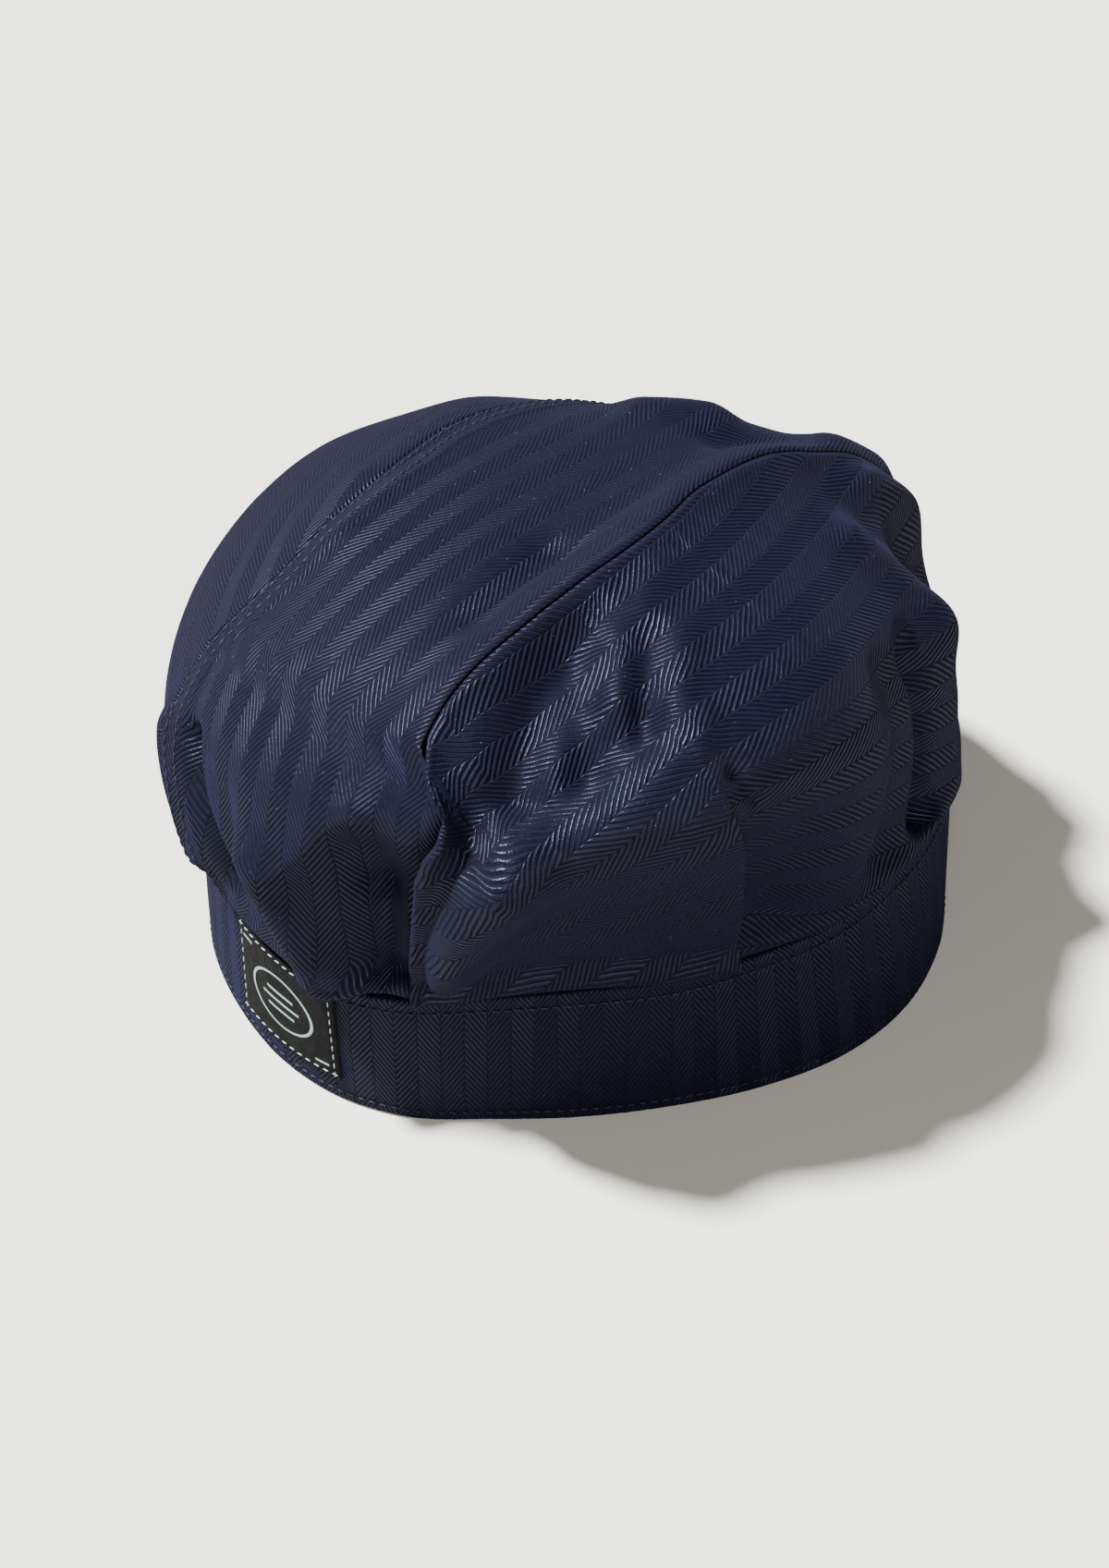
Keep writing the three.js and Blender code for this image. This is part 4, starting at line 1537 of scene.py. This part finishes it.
def relax(tris: np.ndarray, rest: np.ndarray, placed: np.ndarray, rounds: int = 14) -> np.ndarray:
    """Evens out a flat map's scale by the as-rigid-as-possible method.

    Args:
        tris: triangles of shape (k, 3).
        rest: each triangle's true corners as complex numbers, of shape (k, 3).
        placed: first flat places as complex numbers.
        rounds: how many times the triangles are turned and joined again.

    Returns:
        Flat places as complex numbers.
    """
    after = (1, 2, 0)
    step = rest[:, after] - rest
    first, second = rest - rest[:, (2, 0, 1)], rest[:, after] - rest[:, (2, 0, 1)]
    turn = first.conj() * second
    weight = turn.real / np.maximum(np.abs(turn.imag), 1e-9)
    start, end = tris.ravel(), tris[:, after].ravel()
    matrix = np.zeros((len(placed), len(placed)))
    for i, j, sign in ((start, start, 1), (end, end, 1), (start, end, -1), (end, start, -1)):
        np.add.at(matrix, (i, j), sign * weight.ravel())
    back = np.linalg.inv(matrix + 1e-6 * np.eye(len(placed)))
    for _ in range(rounds):
        edge = placed[tris[:, after]] - placed[tris]
        spin = (weight * edge * step.conj()).sum(1)
        spin /= np.maximum(np.abs(spin), 1e-12)
        pull = (weight * spin[:, None] * step).ravel()
        goal = np.zeros(len(placed), complex)
        np.add.at(goal, end, pull)
        np.add.at(goal, start, -pull)
        placed = back @ goal
    return placed


def interpolate(values: np.ndarray, rows: np.ndarray, cols: np.ndarray, n: int, m: int) -> np.ndarray:
    """Fine grid from a coarse one by straight blending along both indexes.

    Args:
        values: coarse grid.
        rows: fine first index of each coarse row.
        cols: fine second index of each coarse column.
        n: fine grid's size along its first index.
        m: its size along the second index.

    Returns:
        Fine grid of shape (n, m).
    """
    by_col = np.stack([np.interp(np.arange(m), cols, row) for row in values])
    return np.stack([np.interp(np.arange(n), rows, by_col[:, j]) for j in range(m)], 1)


@dataclass
class Band:
    """Head band with rounded edges and the dips that its topstitching pulls in."""

    form: CapForm
    maker: MeshMaker
    steps: int = 900
    corner: float = 0.9
    face_deep: float = 0.4
    top_row: float = 3.7
    foot_row: float = 2.6
    dip: float = 0.28
    dip_wide: float = 0.8
    swell: float = 0.35
    swell_share: float = 0.6
    pucker: float = 0.12
    pucker_size: float = 6.0
    pucker_long: float = 0.35
    pucker_wide: float = 3.0
    inner_map: float = 60.0

    def section(self) -> np.ndarray:
        """Closed section of the band, outer face first.

        Returns:
            Inset from the outer face and height, row by row, in mm.
        """
        form = self.form
        round_by = self.corner
        outer = [(0.0, z) for z in np.linspace(round_by, form.band_h - round_by, 40)]
        top = [
            (round_by - round_by * math.cos(a), form.band_h - round_by + round_by * math.sin(a))
            for a in np.linspace(0.3, math.pi / 2, 4)
        ]
        inner_top = [(form.band_t - i, z) for i, z in reversed(top)]
        inner = [(form.band_t, z) for z in np.linspace(form.band_h - round_by, round_by, 8)]
        foot = [(form.band_t - 0.7, 0.15), (form.band_t - 1.0, 0.0), (1.0, 0.0), (0.3, 0.3)]
        return np.array(outer + top + inner_top + inner + foot)

    def relief(self, run: np.ndarray, z: np.ndarray) -> np.ndarray:
        """Stand-off of the outer face: dips at the stitch rows and a soft swell between.

        Args:
            run: run along the band, in mm.
            z: height, in mm.

        Returns:
            Stand-off in mm.
        """
        top, foot = self.form.band_h - self.top_row, self.foot_row
        dips = hump(z, top, self.dip_wide) + hump(z, foot, self.dip_wide)
        middle = np.sin(np.pi * np.clip((z - foot) / (top - foot), 0, 1))
        spot = np.stack([run, z * self.pucker_long, 0 * z], -1)
        pucker = value_noise(spot, self.pucker_size, 21)
        near = hump(z, top, self.pucker_wide) + hump(z, foot, self.pucker_wide)
        return -self.dip * dips + self.swell * middle * self.swell_share + self.pucker * pucker * near

    def build(self) -> bpy.types.Object:
        """Makes the ring and lets it stand for the solid band.

        Returns:
            The new object.
        """
        form = self.form
        section = self.section()
        angle = np.linspace(0, 360, self.steps, endpoint=False)
        a, inset = np.meshgrid(angle, section[:, 0], indexing="ij")
        z = np.broadcast_to(section[:, 1], a.shape)
        ring = form.band_point(angle, np.full_like(angle, form.band_h / 2))
        run = np.concatenate([[0], np.cumsum(np.linalg.norm(np.diff(ring, axis=0), axis=1))])
        run = np.broadcast_to(run[:, None], a.shape)
        face = np.clip(1 - inset / self.face_deep, 0, 1)
        points = form.band_point(a, z, -inset + self.relief(run, z) * face)
        n, m = a.shape
        index = np.arange(n * m).reshape(n, m)
        right, up = np.roll(index, -1, 0), np.roll(index, -1, 1)
        both = np.roll(right, -1, 1)
        faces = np.stack([index, right, both, up], -1).reshape(-1, 4)
        uv = np.stack([run, z + (inset > form.band_t / 2) * self.inner_map], -1)
        obj = self.maker.build("band_cloth", points.reshape(-1, 3), faces, uv.reshape(-1, 2))
        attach(obj, BODY)
        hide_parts("band")
        return obj

    def stitch_rows(self) -> list:
        """Rows of topstitching near both edges.

        Returns:
            Stitch lines.
        """
        angle = np.linspace(0, 360, 721)
        lines = []
        for z in (self.form.band_h - self.top_row, self.foot_row):
            height = np.full_like(angle, z)
            inside = self.form.band_point(angle, height, 0.02)
            out = self.form.band_point(angle, height, 1.0) - self.form.band_point(angle, height)
            lines.append(StitchLine(inside - out * 0.12, out))
        return lines


@dataclass
class Label:
    """Small woven label on the band at the back centre."""

    form: CapForm
    maker: MeshMaker
    width: float = 35.0
    height: float = 27.5
    thick: float = 0.7
    ribbon: float = 0.5
    lift: float = 0.35
    soft_edge: tuple = (-0.3, 0.9)
    wave: float = 0.10
    wave_size: float = 9.0
    inset: float = 1.3
    dip: float = 0.22
    dip_wide: float = 0.5
    drop: float = 1.2
    across: int = 71
    up: int = 57

    def angle_at(self, run: np.ndarray) -> np.ndarray:
        """Angle from the back centre at a run along the band.

        Args:
            run: run from the back centre, in mm.

        Returns:
            Angle in degrees.
        """
        angle = np.linspace(-30, 30, 601)
        ring = self.form.band_point(angle, np.full_like(angle, self.form.band_h / 2))
        length = np.concatenate([[0], np.cumsum(np.linalg.norm(np.diff(ring, axis=0), axis=1))])
        length -= np.interp(0, angle, length)
        return np.interp(run, length, angle)

    def place(self, run: np.ndarray, z: np.ndarray, out: np.ndarray | float) -> np.ndarray:
        """Point on the band's face at a run and a height, held off by out mm."""
        return self.form.band_point(self.angle_at(run), z, out)

    def build(self) -> bpy.types.Object:
        """Makes the label with soft edges and lets it stand for the solid one.

        Returns:
            The new object.
        """
        form = self.form
        run, z = np.meshgrid(
            np.linspace(-self.width / 2, self.width / 2, self.across),
            np.linspace(0, self.height, self.up), indexing="ij",
        )
        edge = np.minimum(np.minimum(run + self.width / 2, self.width / 2 - run),
                          np.minimum(z, self.height - z))
        base = form.band_h - self.drop - self.height
        lift = self.lift + self.thick * smoothstep(edge, *self.soft_edge)
        lift = lift - self.dip * hump(edge, self.inset, self.dip_wide)
        lift = lift + self.wave * value_noise(np.stack([run, z, 0 * z], -1), self.wave_size, 31)
        points = self.place(run, base + z, lift)
        uv = np.stack([run, z - self.height / 2], -1)
        obj = self.maker.shell("label_cloth", points, uv, self.ribbon)
        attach(obj, BODY)
        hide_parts("label")
        return obj

    def stitch_rows(self) -> list:
        """Stitches round the label's edge.

        Returns:
            Stitch lines, one a side.
        """
        half = self.width / 2 - self.inset
        base = self.form.band_h - self.drop - self.height
        low, high = base + self.inset, base + self.height - self.inset
        sides = []
        for start, end in (
            ((-half, low), (half, low)), ((half, low), (half, high)),
            ((half, high), (-half, high)), ((-half, high), (-half, low)),
        ):
            share = np.linspace(0, 1, 40)
            run = start[0] + (end[0] - start[0]) * share
            z = start[1] + (end[1] - start[1]) * share
            spot = self.place(run, z, self.lift + self.thick - 0.10)
            out = self.place(run, z, 1.0) - self.place(run, z, 0.0)
            sides.append(StitchLine(spot, out))
        return sides


@dataclass
class Studio:
    """Pale floor, soft light from the upper left and the photo's camera."""

    form: CapForm
    azimuth: float = 45.0
    elevation: float = 38.0
    focal_px: float = 3400.0
    frame_w: float = 1200.0
    frame_h: float = 1697.0
    scale_px: float = 4.37
    target_px: tuple = (622.0, 957.0)
    key_lean: tuple = (0.55, -0.06)
    key_power: float = 13.5
    key_spread: float = 7.0
    key_colour: tuple = (1.0, 0.985, 0.96)
    floor_colour: tuple = (0.83, 0.83, 0.79, 1.0)
    floor_bounce: tuple = (0.30, 0.30, 0.285, 1.0)
    fill: float = 0.085
    card_power: float = 24.0
    card_size: float = 1.1
    card_place: tuple = (0.25, 1.60, 0.75)
    card_aim: float = 0.04
    floor_half: float = 6.0
    sensor: float = 36.0
    fill_colour: tuple = (1.0, 0.95, 0.86, 1.0)

    def axes(self) -> tuple[Vector, Vector, Vector]:
        """Directions that the camera and the lights are placed by.

        Returns:
            Level to the camera's right, level away from it, and straight up.
        """
        yaw = math.radians(self.azimuth)
        right = Vector((math.cos(yaw), math.sin(yaw), 0))
        return right, Vector((-math.sin(yaw), math.cos(yaw), 0)), Vector((0, 0, 1))

    def camera(self) -> None:
        """Camera whose view puts the band's centre on the floor at the target pixel."""
        pitch = math.radians(self.elevation)
        right, away, up_world = self.axes()
        forward = away * math.cos(pitch) - up_world * math.sin(pitch)
        up = away * math.sin(pitch) + up_world * math.cos(pitch)
        distance = self.focal_px / self.scale_px
        dx = (self.target_px[0] - self.frame_w / 2) / self.focal_px * distance
        dy = (self.target_px[1] - self.frame_h / 2) / self.focal_px * distance
        spot = -(forward * distance + right * dx - up * dy)
        spot = (spot - Vector(self.form.offset)) * MM
        data = bpy.data.cameras.new("camera")
        data.sensor_width = self.sensor
        data.lens = self.focal_px / max(self.frame_w, self.frame_h) * self.sensor
        data.clip_start, data.clip_end = 0.01, 20.0
        obj = new_object("camera", data)
        turn = Matrix((right, up, -forward)).transposed()
        obj.matrix_world = Matrix.Translation(spot) @ turn.to_4x4()
        bpy.context.scene.camera = obj

    def floor(self) -> None:
        """Wide plain floor."""
        half = self.floor_half
        corners = [(-half, -half, 0), (half, -half, 0), (half, half, 0), (-half, half, 0)]
        mesh = bpy.data.meshes.new("floor")
        mesh.from_pydata(corners, [], [(0, 1, 2, 3)])
        obj = new_object("floor", mesh)
        made, g, shader = new_material("floor_paper")
        seen = g.node("ShaderNodeLightPath").outputs["Is Camera Ray"]
        g.feed(shader.inputs["Base Color"], g.mix(seen, self.floor_bounce, self.floor_colour))
        shader.inputs["Roughness"].default_value = 0.9
        shader.inputs["Specular IOR Level"].default_value = 0.1
        mesh.materials.append(made)

    def key(self) -> None:
        """Even key light from the camera's left, high up and a little behind the cap."""
        data = bpy.data.lights.new("key", "SUN")
        data.energy = self.key_power
        data.angle = math.radians(self.key_spread)
        data.color = self.key_colour
        obj = new_object("key", data)
        right, away, up = self.axes()
        ray = right * self.key_lean[0] + away * self.key_lean[1] - up
        obj.rotation_euler = ray.to_track_quat("-Z", "Y").to_euler()

    def card(self) -> None:
        """Large soft light low on the camera's side, as from a white card."""
        data = bpy.data.lights.new("card", "AREA")
        data.energy = self.card_power
        data.size = self.card_size
        data.color = self.fill_colour[:3]
        obj = new_object("card", data)
        right, away, up = self.axes()
        side, near, high = self.card_place
        obj.location = right * side - away * near + up * high
        obj.rotation_euler = (up * self.card_aim - obj.location).to_track_quat("-Z", "Y").to_euler()

    def world(self) -> None:
        """Even pale surroundings."""
        made = bpy.data.worlds.new("surroundings")
        made.use_nodes = True
        node = made.node_tree.nodes["Background"]
        node.inputs["Color"].default_value = self.fill_colour
        node.inputs["Strength"].default_value = self.fill
        bpy.context.scene.world = made

    def build(self) -> None:
        """Makes floor, light, surroundings and camera."""
        self.camera()
        self.floor()
        self.world()
        self.key()
        self.card()


def dress(obj: bpy.types.Object, material: bpy.types.Material) -> None:
    """Gives a piece its material and logs it."""
    obj.data.materials.append(material)
    LOG.info("%s: %d faces", obj.name, len(obj.data.polygons))


def main() -> None:
    """Builds the cap's pieces in order."""
    logging.basicConfig(level=logging.INFO, format="%(name)s: %(message)s")
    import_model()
    form = CapForm()
    form.settle(*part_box("band"))
    LOG.info("frame shift %s mm", np.round(form.offset, 3).tolist())
    Studio(form).build()
    maker = MeshMaker(form)
    twill, yarn = twill_group(), yarn_group()
    crown_cloth = TwillFinish("crown_twill").material(twill, yarn)
    band_cloth = TwillFinish("band_twill").material(twill, yarn)
    thread = ThreadFinish("navy_thread").material(yarn)
    pale_thread = ThreadFinish("pale_thread", (0.30, 0.42, 0.42, 1.0)).material(yarn)

    crown = Crown(form, maker)
    centre, seam_rows = crown.centre()
    dress(centre, crown_cloth)
    for side in Side:
        dress(crown.side(side), crown_cloth)
    band = Band(form, maker)
    dress(band.build(), band_cloth)
    label = Label(form, maker)
    dress(label.build(), LabelFinish().material(yarn))

    stitching = Stitching(form, stitch_tree())
    for name, rows, stitch, material, slot in (
        ("seam_stitches", seam_rows, SEAM_STITCH, thread, "center_twill"),
        ("band_stitches", band.stitch_rows(), BAND_STITCH, thread, "band_twill"),
        ("label_stitches", label.stitch_rows(), LABEL_STITCH, pale_thread, "label_weave"),
    ):
        sewn = stitching.sew(name, rows, stitch, material)
        LOG.info("%s: %d faces", name, len(sewn.data.polygons))


if __name__ == "__main__":
    main()
